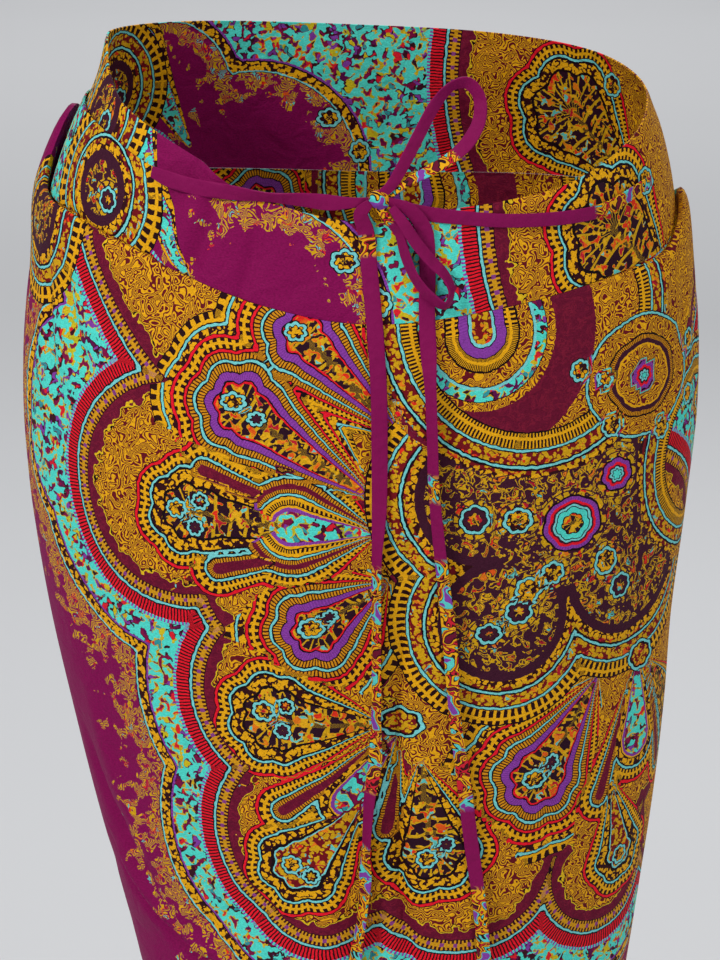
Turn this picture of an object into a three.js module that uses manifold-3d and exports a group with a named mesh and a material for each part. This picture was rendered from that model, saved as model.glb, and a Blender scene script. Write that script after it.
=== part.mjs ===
// Wrap midi skirt, worn: a shaped hip yoke over a slim wrapped skirt, tied at
// the front with two narrow fabric ties in a bow. It hangs on a general hip
// form that is not built, so every panel is a hollow wall of cloth.
//
// Millimetres and degrees. +Z is up, the front faces -Y and the wearer's left
// is +X. The origin is the middle of the waist opening. Angles run around the
// body: 0 at centre front, +90 at the wearer's left side, 180 at centre back
// and -90 at the wearer's right side. Depths are measured down from the waist.
import * as THREE from 'three';
import Module from 'manifold-3d';
import { mergeVertices } from 'three/addons/utils/BufferGeometryUtils.js';

// ---------- driving dimensions ----------

const CLOTH = 1.2; // one layer of cloth
const SEAM_GAP = 0.3; // clearance between two pieces sewn edge to edge
const OUTER_LAYER = 2.4; // how far out the outer wrap's wrong side lies
const OUTER_FACE = OUTER_LAYER + CLOTH; // and its right side
const HEM_DEPTH = 740; // waist to hem of the outer wrap
const UNDER_HEM_RISE = 6; // the inner wrap's hem stays this much shorter
const ROUNDNESS = 2.15; // exponent of the body's cross-section, 2 is an ellipse

const LEFT_SIDE_SEAM = 90;
const RIGHT_SIDE_SEAM = -90;
const OUTER_WRAP_EDGE = -118; // free edge of the outer wrap, past the right side
const INNER_WRAP_EDGE = 50; // free edge of the inner wrap, under the outer one
const LAYER_MERGE_FROM = 58; // here the outer wrap starts to sink to the side seam
const LAYER_MERGE_TO = 84;

const TIE_THICKNESS = 1.6;
const KNOT = { angle: 0.1, depth: 45.5, stand: 5.6, across: 11, deep: 9.6, high: 9.6 };

const ROLL_LENGTH = 40; // how far below the yoke seam the rolled top of the skirt reaches
const ROLL_SETTLE = 110; // and how far below that its fullness dies away
const ROLL_DROP = 3; // stand at which the roll has dropped clear of the yoke's edge

// Steps of the grids: around the body for each panel's width, and down each piece.
const AROUND = { outerFront: 52, innerFront: 35, back: 30 };
const DOWN = { outerYoke: 5, underYoke: 6, outerSkirt: 13, underSkirt: 11 };
const STEPS_PER_POINT = 2; // along a tie
const BALL = { around: 12, down: 8 };
const WELD = 1e-4; // points nearer than this are one

const PRINT = { color: 0xa86a1c, roughness: 0.78, metalness: 0 };
const MAGENTA = { color: 0x8b1158, roughness: 0.78, metalness: 0 };

// ---------- tables ----------

function table(columns, rows) {
  return rows.map((row) => Object.fromEntries(columns.map((name, k) => [name, row[k]])));
}

// Half sizes of the hip form from the origin's axis, at each depth.
const FORM = table(['depth', 'right', 'left', 'front', 'back'], [
  [-30, 134, 127, 95, 97],
  [0, 141, 134, 99, 100],
  [15, 147, 139, 102, 103],
  [30, 154, 145, 105, 107],
  [48, 161, 150, 108, 112],
  [64, 166, 153, 110, 116],
  [90, 169, 156, 113, 122],
  [120, 174, 161, 117, 128],
  [150, 179, 164.5, 119, 132],
  [180, 182.5, 167, 120, 134],
  [205, 183, 167, 120, 133],
  [235, 181, 165, 119, 130],
  [290, 174, 160, 115, 122],
  [345, 164, 158, 112, 114],
  [400, 153, 154, 108, 108],
  [475, 136, 146, 103, 102],
  [540, 123, 139, 100, 99],
  [620, 117, 136, 99, 98],
  [740, 116, 136, 99, 98],
]);

// Depth of each cut edge around the body.
const OUTER_YOKE_TOP = table(['angle', 'depth'], [
  [-120, 20], [-104, 16], [-88, 14.5], [-60, 23.5], [-41, 36.5], [-18, 48.5],
  [-2, 57.5], [9, 52.5], [21, 49], [35, 43.5], [47, 34.5], [64, 22], [80, 13], [90, 11],
]);
const INNER_YOKE_TOP = table(['angle', 'depth'], [
  [-90, -17], [-82, -15.5], [-72, -3.5], [-60, 9], [-45, 20], [-32, 31.5], [-24, 44],
  [-10, 60], [0, 66], [15, 60], [35, 52], [50, 42],
]);
const BACK_YOKE_TOP = table(['angle', 'depth'], [
  [90, 11], [120, 1], [150, -4], [180, -7], [225, -13], [270, -17],
]);
const YOKE_SEAM = table(['angle', 'depth'], [
  [-120, 66], [-104, 64], [-88, 63], [-63, 64], [-55, 68], [-43.6, 75], [-29, 88.5],
  [-17, 98.5], [-2, 106], [15, 102], [45, 90], [66, 83], [80, 75], [90, 71],
  [112, 72], [150, 76], [180, 78], [225, 70], [270, 63],
]);

// The skirt's top is fuller than the yoke at both hips and rolls up against it.
const HIP_ROLL = table(['angle', 'stand', 'rise'], [
  [-120, 3, 2], [-112, 7, 22], [-104, 10, 46], [-96, 10, 44], [-88, 8, 20], [-78, 6, 9],
  [-62, 5, 6.5], [-46, 2.5, 3], [-32, 0, 0], [36, 0, 0], [52, 2.5, 3], [66, 4.5, 6.5],
  [76, 6.5, 12], [84, 7, 17], [90, 6.5, 15], [100, 4, 6], [114, 0, 0],
]);

// Section of that roll from the seam down: outwards, back up, over and down.
const ROLL_SECTION = table(['along', 'out', 'up', 'down'], [
  [0, 0, 0, 0],
  [0.1, 0.38, 0, 0.06],
  [0.25, 0.52, 0.55, 0.1],
  [0.4, 0.72, 1, 0.16],
  [0.52, 1, 0.88, 0.25],
  [0.68, 1.1, 0.4, 0.42],
  [0.84, 1, 0.08, 0.68],
  [1, 0.85, 0, 1],
]);

// Soft lengthwise troughs (negative) and ridges that all layers share.
const FOLDS = table(['name', 'angle', 'drift', 'from', 'to', 'spread', 'height'], [
  ['valley under the tie', -1, -2, 105, 740, 4.5, -4.5],
  ['ridge beside the valley', -11, -2, 150, 700, 6, 1.6],
  ['left thigh ridge', 24, 5, 170, 700, 8, 1.8],
  ['left hip trough', 58, -6, 120, 420, 7, -1.8],
  ['right hip trough', -58, 8, 130, 420, 7, -2],
  ['right thigh trough', -34, -4, 330, 740, 6, -2.4],
  ['right back trough', 222, 6, 150, 560, 8, -2.6],
  ['centre back trough', 182, -3, 230, 740, 7, -4],
  ['left back trough', 140, 4, 140, 520, 8, -2.4],
]);
const FOLD_FADE = 90; // length over which a fold grows and dies

// ---------- reading the tables ----------

// A smooth curve through one column of a table, held level past both ends.
function reader(rows, key, value) {
  const last = rows.length - 1;
  const slopes = rows.map((row, k) => {
    const before = rows[Math.max(k - 1, 0)];
    const after = rows[Math.min(k + 1, last)];
    return (after[value] - before[value]) / (after[key] - before[key]);
  });
  return (x) => {
    if (x <= rows[0][key]) return rows[0][value];
    if (x >= rows[last][key]) return rows[last][value];
    const k = rows.findIndex((row) => row[key] > x) - 1;
    const span = rows[k + 1][key] - rows[k][key];
    const t = (x - rows[k][key]) / span;
    const keep = (1 + 2 * t) * (1 - t) ** 2;
    return rows[k][value] * keep + rows[k + 1][value] * (1 - keep)
      + slopes[k] * span * t * (1 - t) ** 2 - slopes[k + 1] * span * t * t * (1 - t);
  };
}

const formHalf = {
  right: reader(FORM, 'depth', 'right'),
  left: reader(FORM, 'depth', 'left'),
  front: reader(FORM, 'depth', 'front'),
  back: reader(FORM, 'depth', 'back'),
};
const outerYokeTop = reader(OUTER_YOKE_TOP, 'angle', 'depth');
const innerYokeTop = reader(INNER_YOKE_TOP, 'angle', 'depth');
const backYokeTop = reader(BACK_YOKE_TOP, 'angle', 'depth');
const yokeSeam = reader(YOKE_SEAM, 'angle', 'depth');
const rollStand = reader(HIP_ROLL, 'angle', 'stand');
const rollRise = reader(HIP_ROLL, 'angle', 'rise');
const rollOut = reader(ROLL_SECTION, 'along', 'out');
const rollUp = reader(ROLL_SECTION, 'along', 'up');
const rollDown = reader(ROLL_SECTION, 'along', 'down');

const radians = THREE.MathUtils.degToRad;
const smooth = THREE.MathUtils.smoothstep;
const mix = THREE.MathUtils.lerp;

// ---------- the worn form ----------

function foldHeight(angle, depth) {
  return FOLDS.reduce((sum, fold) => {
    const share = (depth - fold.from) / (fold.to - fold.from);
    const centre = fold.angle + fold.drift * share;
    const turn = angle < -90 ? angle + 360 : angle;
    const away = Math.min(Math.abs(angle - centre), Math.abs(turn - centre)) / fold.spread;
    const ends = smooth(depth, fold.from, fold.from + FOLD_FADE)
      * (fold.to >= HEM_DEPTH ? 1 : 1 - smooth(depth, fold.to - FOLD_FADE, fold.to));
    return sum + fold.height * ends * Math.exp(-away * away);
  }, 0);
}

// The point at an angle and depth, so far outside the form.
function formPoint(angle, depth, out) {
  const across = Math.sin(radians(angle));
  const ahead = Math.cos(radians(angle));
  const halfAcross = across > 0 ? formHalf.left(depth) : formHalf.right(depth);
  const halfAhead = ahead > 0 ? formHalf.front(depth) : formHalf.back(depth);
  const proud = out + foldHeight(angle, depth);
  const x = Math.sign(across) * Math.abs(across) ** (2 / ROUNDNESS) * halfAcross;
  const y = -Math.sign(ahead) * Math.abs(ahead) ** (2 / ROUNDNESS) * halfAhead;
  return new THREE.Vector3(x + across * proud, y - ahead * proud, -depth);
}

// Where the wrong side of the outer wrap lies: it sinks to the side seam.
function outerLayer(angle) {
  return OUTER_LAYER * (1 - smooth(angle, LAYER_MERGE_FROM, LAYER_MERGE_TO));
}

// ---------- walls of cloth ----------

// A closed wall from a grid of points on its back face. Rows run around the
// body or across a tie, columns run down it, and the front lies a thickness out.
function wall(grid, thickness) {
  const rows = grid.length;
  const columns = grid[0].length;
  const positions = [];
  const back = (i, j) => i * columns + j;
  const front = (i, j) => rows * columns + i * columns + j;
  grid.forEach((line) => line.forEach((point) => positions.push(...point.toArray())));
  for (let i = 0; i < rows; i += 1) {
    for (let j = 0; j < columns; j += 1) {
      const around = grid[Math.min(i + 1, rows - 1)][j].clone().sub(grid[Math.max(i - 1, 0)][j]);
      const down = grid[i][Math.min(j + 1, columns - 1)].clone().sub(grid[i][Math.max(j - 1, 0)]);
      const normal = down.cross(around).normalize();
      positions.push(...grid[i][j].clone().addScaledVector(normal, thickness).toArray());
    }
  }
  const faces = [];
  const quad = (a, b, c, d) => faces.push(a, b, c, a, c, d);
  for (let i = 0; i < rows - 1; i += 1) {
    for (let j = 0; j < columns - 1; j += 1) {
      quad(front(i, j), front(i, j + 1), front(i + 1, j + 1), front(i + 1, j));
      quad(back(i, j), back(i + 1, j), back(i + 1, j + 1), back(i, j + 1));
    }
  }
  for (let i = 0; i < rows - 1; i += 1) {
    const end = columns - 1;
    quad(front(i, 0), front(i + 1, 0), back(i + 1, 0), back(i, 0));
    quad(front(i + 1, end), front(i, end), back(i, end), back(i + 1, end));
  }
  for (let j = 0; j < columns - 1; j += 1) {
    const end = rows - 1;
    quad(front(0, j + 1), front(0, j), back(0, j), back(0, j + 1));
    quad(front(end, j), front(end, j + 1), back(end, j + 1), back(end, j));
  }
  const geometry = new THREE.BufferGeometry();
  geometry.setAttribute('position', new THREE.Float32BufferAttribute(positions, 3));
  geometry.setIndex(faces);
  return geometry;
}

// A panel between two angles, from a list of functions of the angle that give
// one point each, top to bottom.
function panel(fromAngle, toAngle, steps, lines) {
  const grid = [];
  for (let i = 0; i <= steps; i += 1) {
    const angle = mix(fromAngle, toAngle, i / steps);
    grid.push(lines.map((line) => line(angle)));
  }
  return wall(grid, CLOTH);
}

// Evenly spaced lines of points between a top and a bottom edge.
function linesBetween(top, bottom, steps, layer) {
  return Array.from({ length: steps + 1 }, (_, j) => (angle) => {
    const depth = mix(top(angle), bottom(angle), j / steps);
    return formPoint(angle, depth, layer(angle));
  });
}

// Lines of a skirt panel that starts with the hip roll and hangs to its hem.
function rolledLines(hem, stepsBelow, layer) {
  const start = (angle) => yokeSeam(angle) + SEAM_GAP
    + CLOTH * Math.min(1, rollStand(angle) / ROLL_DROP);
  const rolled = ROLL_SECTION.map(({ along }) => (angle) => {
    const depth = start(angle) + ROLL_LENGTH * rollDown(along) - rollRise(angle) * rollUp(along);
    return formPoint(angle, depth, layer(angle) + rollStand(angle) * rollOut(along));
  });
  const below = Array.from({ length: stepsBelow }, (_, j) => (angle) => {
    const top = start(angle) + ROLL_LENGTH;
    const depth = mix(top, hem, (j + 1) / stepsBelow);
    const fullness = rollOut(1) * (1 - smooth(depth, top, top + ROLL_SETTLE));
    return formPoint(angle, depth, layer(angle) + rollStand(angle) * fullness);
  });
  return [...rolled, ...below];
}

const onForm = () => 0;
const aboveSeam = (angle) => yokeSeam(angle);
const belowSeam = (angle) => yokeSeam(angle) + SEAM_GAP;
const seamTurn = THREE.MathUtils.radToDeg(SEAM_GAP / (2 * formHalf.left(0)));

function yokeOuterFront() {
  const lines = linesBetween(outerYokeTop, aboveSeam, DOWN.outerYoke, outerLayer);
  return panel(OUTER_WRAP_EDGE, LEFT_SIDE_SEAM - seamTurn, AROUND.outerFront, lines);
}

function yokeInnerFront() {
  const lines = linesBetween(innerYokeTop, aboveSeam, DOWN.underYoke, onForm);
  return panel(RIGHT_SIDE_SEAM + seamTurn, INNER_WRAP_EDGE, AROUND.innerFront, lines);
}

function yokeBack() {
  const lines = linesBetween(backYokeTop, aboveSeam, DOWN.underYoke, onForm);
  const end = RIGHT_SIDE_SEAM + 360 - seamTurn;
  return panel(LEFT_SIDE_SEAM + seamTurn, end, AROUND.back, lines);
}

function skirtOuterFront() {
  const lines = rolledLines(HEM_DEPTH, DOWN.outerSkirt, outerLayer);
  return panel(OUTER_WRAP_EDGE, LEFT_SIDE_SEAM - seamTurn, AROUND.outerFront, lines);
}

function skirtInnerFront() {
  const hem = () => HEM_DEPTH - UNDER_HEM_RISE;
  const lines = linesBetween(belowSeam, hem, DOWN.underSkirt, onForm);
  return panel(RIGHT_SIDE_SEAM + seamTurn, INNER_WRAP_EDGE, AROUND.innerFront, lines);
}

function skirtBack() {
  const lines = rolledLines(HEM_DEPTH - UNDER_HEM_RISE / 2, DOWN.underSkirt, onForm);
  const end = RIGHT_SIDE_SEAM + 360 - seamTurn;
  return panel(LEFT_SIDE_SEAM + seamTurn, end, AROUND.back, lines);
}

// ---------- ties ----------

// Each route is a row of points on the form: how far its nearest edge stands
// off the outer wrap, how wide the tie is there and how far it is turned on edge.
const ROUTE = ['angle', 'depth', 'stand', 'width', 'turn'];

const TIE_ROUTES = {
  tie_left: table(ROUTE, [
    [-41, 38, 1, 6, 0],
    [-37, 40.5, 1.2, 8, 0],
    [-31, 43, 1.2, 8, 0],
    [-24, 44.3, 1, 8, 10],
    [-16.5, 45.4, 0.8, 6.5, 35],
    [-11, 46.4, 1, 7.5, 15],
    [-6.5, 47.6, 2.2, 7.5, 0],
    [-3.2, 47.2, 3.2, 5, 0],
    [-0.6, 46.4, 3.4, 4, 0],
  ]),
  tie_right: table(ROUTE, [
    [0.9, 46.4, 3.4, 4, 0],
    [3.4, 49, 2.2, 5, 0],
    [7.5, 53, 0.8, 7, 0],
    [14, 55.6, 0.8, 8, 0],
    [22, 57.8, 1, 8, 0],
    [34.5, 58.4, 1.1, 8, 0],
    [42.5, 57, 1.2, 8, 0],
    [50, 52.8, 1.1, 8, 0],
    [60, 47.6, 1, 6, 0],
  ]),
  bow_loop_upper: table(ROUTE, [
    [0, 43.5, 6.2, 4, 0],
    [1.6, 39, 5.6, 5.5, 10],
    [3.6, 29.5, 4, 7.5, 15],
    [6.4, 16, 2.6, 8, 15],
    [9.8, 1.5, 2, 8, 20],
    [13, -6.8, 2, 8, 35],
    [16, -8, 2.4, 8, 30],
    [18.2, -1.8, 2.4, 8, 45],
    [17.8, 10, 2.4, 8, 40],
    [15.2, 20, 2, 8, 30],
    [11.6, 27.6, 1.6, 7.5, 40],
    [7.4, 33.6, 1.8, 6.5, 55],
    [4.2, 38, 2.8, 5, 50],
    [1.6, 43.4, 3.6, 4, 20],
  ]),
  bow_loop_lower: table(ROUTE, [
    [0, 48, 6.2, 4, 0],
    [1.2, 54, 4.8, 5, 30],
    [3, 61.5, 3, 6, 45],
    [4, 72.3, 2.2, 7, 50],
    [5.4, 82.6, 2.8, 7, 50],
    [7.8, 91.6, 3.2, 7, 45],
    [9.9, 95.4, 3.2, 7, 50],
    [10.8, 89.2, 3.2, 7, 55],
    [9.9, 82, 3.6, 7, 50],
    [7.8, 75, 4.4, 7, 40],
    [5.4, 66, 6, 6.5, 30],
    [3.6, 57, 7.8, 6, 20],
    [1.8, 48.4, 8.4, 4, 0],
  ]),
  tail_left: table(ROUTE, [
    [-1, 46.5, 6.6, 4, 0],
    [-2.2, 52, 4.6, 7, 0],
    [-1.5, 62, 1.6, 8, 0],
    [-1.1, 78, 0.8, 8, 0],
    [-0.7, 93, 0.8, 8, 0],
    [-0.2, 115, 1, 8, 0],
    [0.1, 140, 1.2, 8, 0],
    [0.2, 170, 1.4, 8, 0],
    [0.2, 199, 1.4, 7.5, 10],
    [0, 227, 1.4, 7, 50],
    [0, 267, 1.4, 7, 52],
    [0, 311, 1.4, 7, 50],
    [-0.2, 338, 1.4, 7.5, 20],
    [-0.9, 358, 1.4, 7.5, 40],
    [-1.4, 388, 1.4, 7.5, 58],
    [-1.6, 404, 1.4, 8, 35],
    [-1.9, 421, 1.4, 8, 55],
    [-2.8, 441, 1.6, 8, 50],
    [-4, 462, 2, 8, 20],
    [-5, 484, 2, 8, 0],
  ]),
  tail_right: table(ROUTE, [
    [1.2, 46, 6.2, 4, 0],
    [4.4, 50, 5.2, 6.5, 0],
    [6.8, 60, 2.6, 8, 0],
    [7.4, 75.5, 0.9, 8, 0],
    [7.2, 100, 0.7, 8, 0],
    [7.3, 116, 0.8, 8, 10],
    [7.6, 138, 0.9, 7, 45],
    [7.8, 161, 0.9, 7, 50],
    [8, 185, 0.9, 7, 50],
    [8.8, 212, 0.9, 7, 40],
    [10, 241, 0.9, 7, 35],
    [11.2, 269, 0.9, 7.5, 25],
    [12.5, 312, 0.9, 7, 45],
    [14.2, 346, 0.9, 7.5, 25],
    [16.2, 386, 0.9, 7.5, 20],
    [17.8, 413, 0.9, 7.5, 35],
    [19.4, 444, 0.9, 7.5, 40],
    [20.4, 466, 0.9, 8, 20],
    [20.9, 492, 0.9, 8, 0],
  ]),
};

function tieStrip(route) {
  const lift = ({ width, turn }) => Math.abs(Math.sin(radians(turn))) * width / 2;
  const centre = new THREE.CatmullRomCurve3(
    route.map((row) => formPoint(row.angle, row.depth, OUTER_FACE + row.stand + lift(row))),
  );
  const shape = new THREE.CatmullRomCurve3(
    route.map(({ angle, width, turn }) => new THREE.Vector3(angle, width, turn)),
  );
  const steps = (route.length - 1) * STEPS_PER_POINT;
  const edges = [[], []];
  for (let j = 0; j <= steps; j += 1) {
    const point = centre.getPoint(j / steps);
    const { x: angle, y: width, z: turn } = shape.getPoint(j / steps);
    const along = centre.getTangent(j / steps);
    const outward = new THREE.Vector3(Math.sin(radians(angle)), -Math.cos(radians(angle)), 0);
    outward.addScaledVector(along, -outward.dot(along)).normalize();
    outward.applyAxisAngle(along, radians(turn));
    const across = outward.cross(along);
    edges[0].push(point.clone().addScaledVector(across, -width / 2));
    edges[1].push(point.clone().addScaledVector(across, width / 2));
  }
  return wall(edges, TIE_THICKNESS);
}

function knotBall(clearance) {
  const ball = new THREE.SphereGeometry(1, BALL.around, BALL.down);
  const grow = 2 * clearance;
  ball.scale((KNOT.across + grow) / 2, (KNOT.deep + grow) / 2, (KNOT.high + grow) / 2);
  const centre = formPoint(KNOT.angle, KNOT.depth, OUTER_FACE + KNOT.stand);
  return ball.translate(centre.x, centre.y, centre.z);
}

// ---------- cutting the ties clear of the knot ----------

const wasm = await Module();
wasm.setup();

function solidOf(geometry) {
  const bare = geometry.clone();
  bare.deleteAttribute('normal');
  bare.deleteAttribute('uv');
  const merged = mergeVertices(bare, WELD);
  return new wasm.Manifold(new wasm.Mesh({
    numProp: 3,
    vertProperties: new Float32Array(merged.attributes.position.array),
    triVerts: new Uint32Array(merged.index.array),
  }));
}

function geometryOf(solid) {
  const { numProp, vertProperties, triVerts } = solid.getMesh();
  const geometry = new THREE.BufferGeometry();
  const points = new THREE.BufferAttribute(vertProperties, numProp);
  geometry.setAttribute('position', points);
  geometry.setIndex(new THREE.BufferAttribute(triVerts, 1));
  return geometry;
}

const knotClearance = solidOf(knotBall(SEAM_GAP));

// ---------- the skirt ----------

const skirt = new THREE.Group();

function sew(name, geometry, look) {
  const mesh = new THREE.Mesh(geometry, new THREE.MeshStandardMaterial(look));
  mesh.name = name;
  skirt.add(mesh);
}

sew('yoke_outer_front', yokeOuterFront(), PRINT);
sew('yoke_inner_front', yokeInnerFront(), PRINT);
sew('yoke_back', yokeBack(), PRINT);
sew('skirt_outer_front', skirtOuterFront(), PRINT);
sew('skirt_inner_front', skirtInnerFront(), PRINT);
sew('skirt_back', skirtBack(), PRINT);
for (const [name, route] of Object.entries(TIE_ROUTES)) {
  sew(name, geometryOf(solidOf(tieStrip(route)).subtract(knotClearance)), MAGENTA);
}
sew('bow_knot', knotBall(0), MAGENTA);

export default skirt;
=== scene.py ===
# %% [markdown]
# # A wrap midi skirt in printed crepe
# The skirt has a shaped hip yoke, a slim wrapped skirt below it and two narrow
# ties in a bow. The CAD model gives its solids, its mounts and its place. This
# script dresses them: thin printed cloth laid on the same form, and flat ties
# swept along their routes. It starts with the frame.

# %% Load the frame
from math import cos, pi, radians, sin, tau

import bpy
import numpy as np
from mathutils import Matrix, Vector


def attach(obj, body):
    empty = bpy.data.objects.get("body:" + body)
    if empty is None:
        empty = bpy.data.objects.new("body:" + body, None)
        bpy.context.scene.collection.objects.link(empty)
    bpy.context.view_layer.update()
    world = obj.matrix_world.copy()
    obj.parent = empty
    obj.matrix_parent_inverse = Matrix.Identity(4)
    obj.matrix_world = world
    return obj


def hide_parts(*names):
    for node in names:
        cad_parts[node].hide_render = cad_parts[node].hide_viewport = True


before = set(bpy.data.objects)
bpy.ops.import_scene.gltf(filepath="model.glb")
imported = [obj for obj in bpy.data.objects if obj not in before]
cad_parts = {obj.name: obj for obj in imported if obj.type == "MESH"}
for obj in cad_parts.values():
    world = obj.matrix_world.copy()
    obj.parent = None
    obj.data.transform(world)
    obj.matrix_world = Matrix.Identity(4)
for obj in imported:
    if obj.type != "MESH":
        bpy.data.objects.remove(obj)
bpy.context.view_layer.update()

# %% [markdown]
# Every size below is written in millimetres, as on a cutting table, and Blender
# works in metres, so one factor turns the one into the other. Colours are
# written as hex values, as a dyer's card gives them, and Blender mixes light, so
# one function turns them into linear light.

# %% Units, colours and a clean selection
MM = 0.001


def linear(hex_colour):
    """An sRGB hex colour as the linear RGBA that shaders use."""
    shares = [int(hex_colour[k:k + 2], 16) / 255 for k in (1, 3, 5)]
    return tuple(s / 12.92 if s < 0.04045 else ((s + 0.055) / 1.055) ** 2.4 for s in shares) + (1,)


def start_clean():
    """Nothing stays selected, so that the next operator acts on its own piece only."""
    for other in bpy.context.selected_objects:
        other.select_set(False)


start_clean()
print("mid grey is", round(linear("#808080")[0], 3), "in linear light")

# %% [markdown]
# ## Camera
# The view is level with the hips of a display torso, a little from above, with a
# long lens, so that the skirt hardly narrows with distance. The long lens keeps
# upright lines upright, which shows the cut of the skirt best.

# %% Camera
VIEW_TILT = 18  # degrees that the camera looks down
VIEW_FROM = (-8.7, -1302, 199.8)  # mm
SENSOR = 36
LENS = 126.75  # mm, on that sensor

start_clean()
bpy.ops.object.camera_add(location=[c * MM for c in VIEW_FROM], rotation=(radians(90 - VIEW_TILT), 0, 0))
camera = bpy.context.object
camera.name = "camera"
camera.data.sensor_fit = "HORIZONTAL"
camera.data.sensor_width = SENSOR
camera.data.lens = LENS
bpy.context.scene.camera = camera
print("the camera looks down", VIEW_TILT, "degrees from", round(-VIEW_FROM[1] * MM, 2), "m in front")

# %% [markdown]
# ## Floor and light
# A plain pale floor far below the hem fills the whole view. A small strong lamp
# at the left rakes over the cloth, so that its folds show, and a big soft one at
# the right opens their shadows. Weak ones above and behind part the top edge and
# the sides of the skirt from the ground, and one far behind is for the floor
# alone. An even pale world does the rest.

# %% Floor and light
FLOOR_DEPTH = 1000  # mm below the waist
FLOOR_SIZE = 30  # m
WORLD_LIGHT = 0.45
LAMPS = [
    # name, place (m), looks at (m), size (m), power (W)
    ("key lamp", (-1.9, -1.8, 1.6), (0, 0, -0.25), 0.8, 58),
    ("fill lamp", (1.9, -2.0, 0.7), (0, 0, -0.25), 1.6, 19),
    ("top lamp", (0.1, -0.5, 2.2), (0, 0, -0.1), 1.2, 10),
    ("back lamp", (0.4, 2.2, 1.1), (0, 0, -0.2), 1.4, 14),
    ("floor lamp", (0, 7.0, 3.5), (0, 7.0, -1), 5, 126),
]

start_clean()
bpy.ops.mesh.primitive_plane_add(size=FLOOR_SIZE, location=(0, 0, -FLOOR_DEPTH * MM))
floor = bpy.context.object
floor.name = "floor"

for name, place, target, size, power in LAMPS:
    bpy.ops.object.light_add(type="AREA", location=place)
    lamp = bpy.context.object
    lamp.name = name
    lamp.rotation_euler = (Vector(target) - Vector(place)).to_track_quat("-Z", "Y").to_euler()
    lamp.data.size = size
    lamp.data.energy = power

world = bpy.data.worlds.new("studio")
world.use_nodes = True
world.node_tree.nodes["Background"].inputs["Color"].default_value = linear("#f3f4f6")
world.node_tree.nodes["Background"].inputs["Strength"].default_value = WORLD_LIGHT
bpy.context.scene.world = world
bpy.context.scene.view_settings.view_transform = "Standard"
print(len(LAMPS), "lamps of", sum(row[-1] for row in LAMPS), "W in all")

# %% [markdown]
# ## The worn form
# A worn skirt takes its form from the hips inside it. The form is a stack of
# rounded sections: how far the body reaches to each side, to the front and to
# the back at each depth under the waist. Angles run round the body, 0 at centre
# front, 90 at the wearer's left side and -90 at the right side.

# %% Driving sizes
CLOTH = 1.2  # the CAD wall, which the thin cloth lies in
THIN = 0.8  # the cloth itself, with its turned edges
SEAM_GAP = 0.3
OUTER_LAYER = 2.4  # how far out the outer wrap lies on the inner one
OUTER_FACE = OUTER_LAYER + CLOTH
HEM_DEPTH = 740
HIP_DEPTH = 200  # where the hips are widest
UNDER_HEM_RISE = 6
ROUNDNESS = 2.15  # exponent of the body's cross-section, 2 is an ellipse
LEFT_SIDE_SEAM = 90
RIGHT_SIDE_SEAM = -90
OUTER_WRAP_EDGE = -118
INNER_WRAP_EDGE = 50
LAYER_MERGE = (58, 84)  # here the outer wrap sinks to the side seam
ROLL_LENGTH = 40  # how far below the yoke seam the rolled top of the skirt reaches
ROLL_SETTLE = 110  # and how far below that its fullness dies away
ROLL_DROP = 3
FOLD_FADE = 90


def table(columns, rows):
    """Rows of values as dictionaries, with the columns' names as keys."""
    return [dict(zip(columns.split(), row)) for row in rows]


FORM = table("depth right left front back", [
    (-30, 134, 127, 95, 97),
    (0, 141, 134, 99, 100),
    (15, 147, 139, 102, 103),
    (30, 154, 145, 105, 107),
    (48, 161, 150, 108, 112),
    (64, 166, 153, 110, 116),
    (90, 169, 156, 113, 122),
    (120, 174, 161, 117, 128),
    (150, 179, 164.5, 119, 132),
    (180, 182.5, 167, 120, 134),
    (205, 183, 167, 120, 133),
    (235, 181, 165, 119, 130),
    (290, 174, 160, 115, 122),
    (345, 164, 158, 112, 114),
    (400, 153, 154, 108, 108),
    (475, 136, 146, 103, 102),
    (540, 123, 139, 100, 99),
    (620, 117, 136, 99, 98),
    (740, 116, 136, 99, 98),
])
print("the form is", max(row["left"] + row["right"] for row in FORM), "mm wide at the hips")

# %% [markdown]
# Each cut edge is a curve too: the top edges dip to the front, where the wrap
# crosses, and the yoke's seam runs in a shallow V. At both hips the skirt is cut
# fuller than the yoke and rolls up against it, most at the wearer's right.

# %% Edges, rolls and folds
OUTER_YOKE_TOP = table("angle depth", [
    (-120, 20), (-104, 16), (-88, 14.5), (-60, 23.5), (-41, 36.5), (-18, 48.5),
    (-2, 57.5), (9, 52.5), (21, 49), (35, 43.5), (47, 34.5), (64, 22), (80, 13), (90, 11),
])
INNER_YOKE_TOP = table("angle depth", [
    (-90, -17), (-82, -15.5), (-72, -3.5), (-60, 9), (-45, 20), (-32, 31.5), (-24, 44),
    (-10, 60), (0, 66), (15, 60), (35, 52), (50, 42),
])
BACK_YOKE_TOP = table("angle depth", [
    (90, 11), (120, 1), (150, -4), (180, -7), (225, -13), (270, -17),
])
YOKE_SEAM = table("angle depth", [
    (-120, 66), (-104, 64), (-88, 63), (-63, 64), (-55, 68), (-43.6, 75), (-29, 88.5),
    (-17, 98.5), (-2, 106), (15, 102), (45, 90), (66, 83), (80, 75), (90, 71),
    (112, 72), (150, 76), (180, 78), (225, 70), (270, 63),
])
HIP_ROLL = table("angle stand rise", [
    (-120, 3, 2), (-112, 7, 22), (-104, 10, 46), (-96, 10, 44), (-88, 8, 20), (-78, 6, 9),
    (-62, 5, 6.5), (-46, 2.5, 3), (-32, 0, 0), (36, 0, 0), (52, 2.5, 3), (66, 4.5, 6.5),
    (76, 6.5, 12), (84, 7, 17), (90, 6.5, 15), (100, 4, 6), (114, 0, 0),
])
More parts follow.
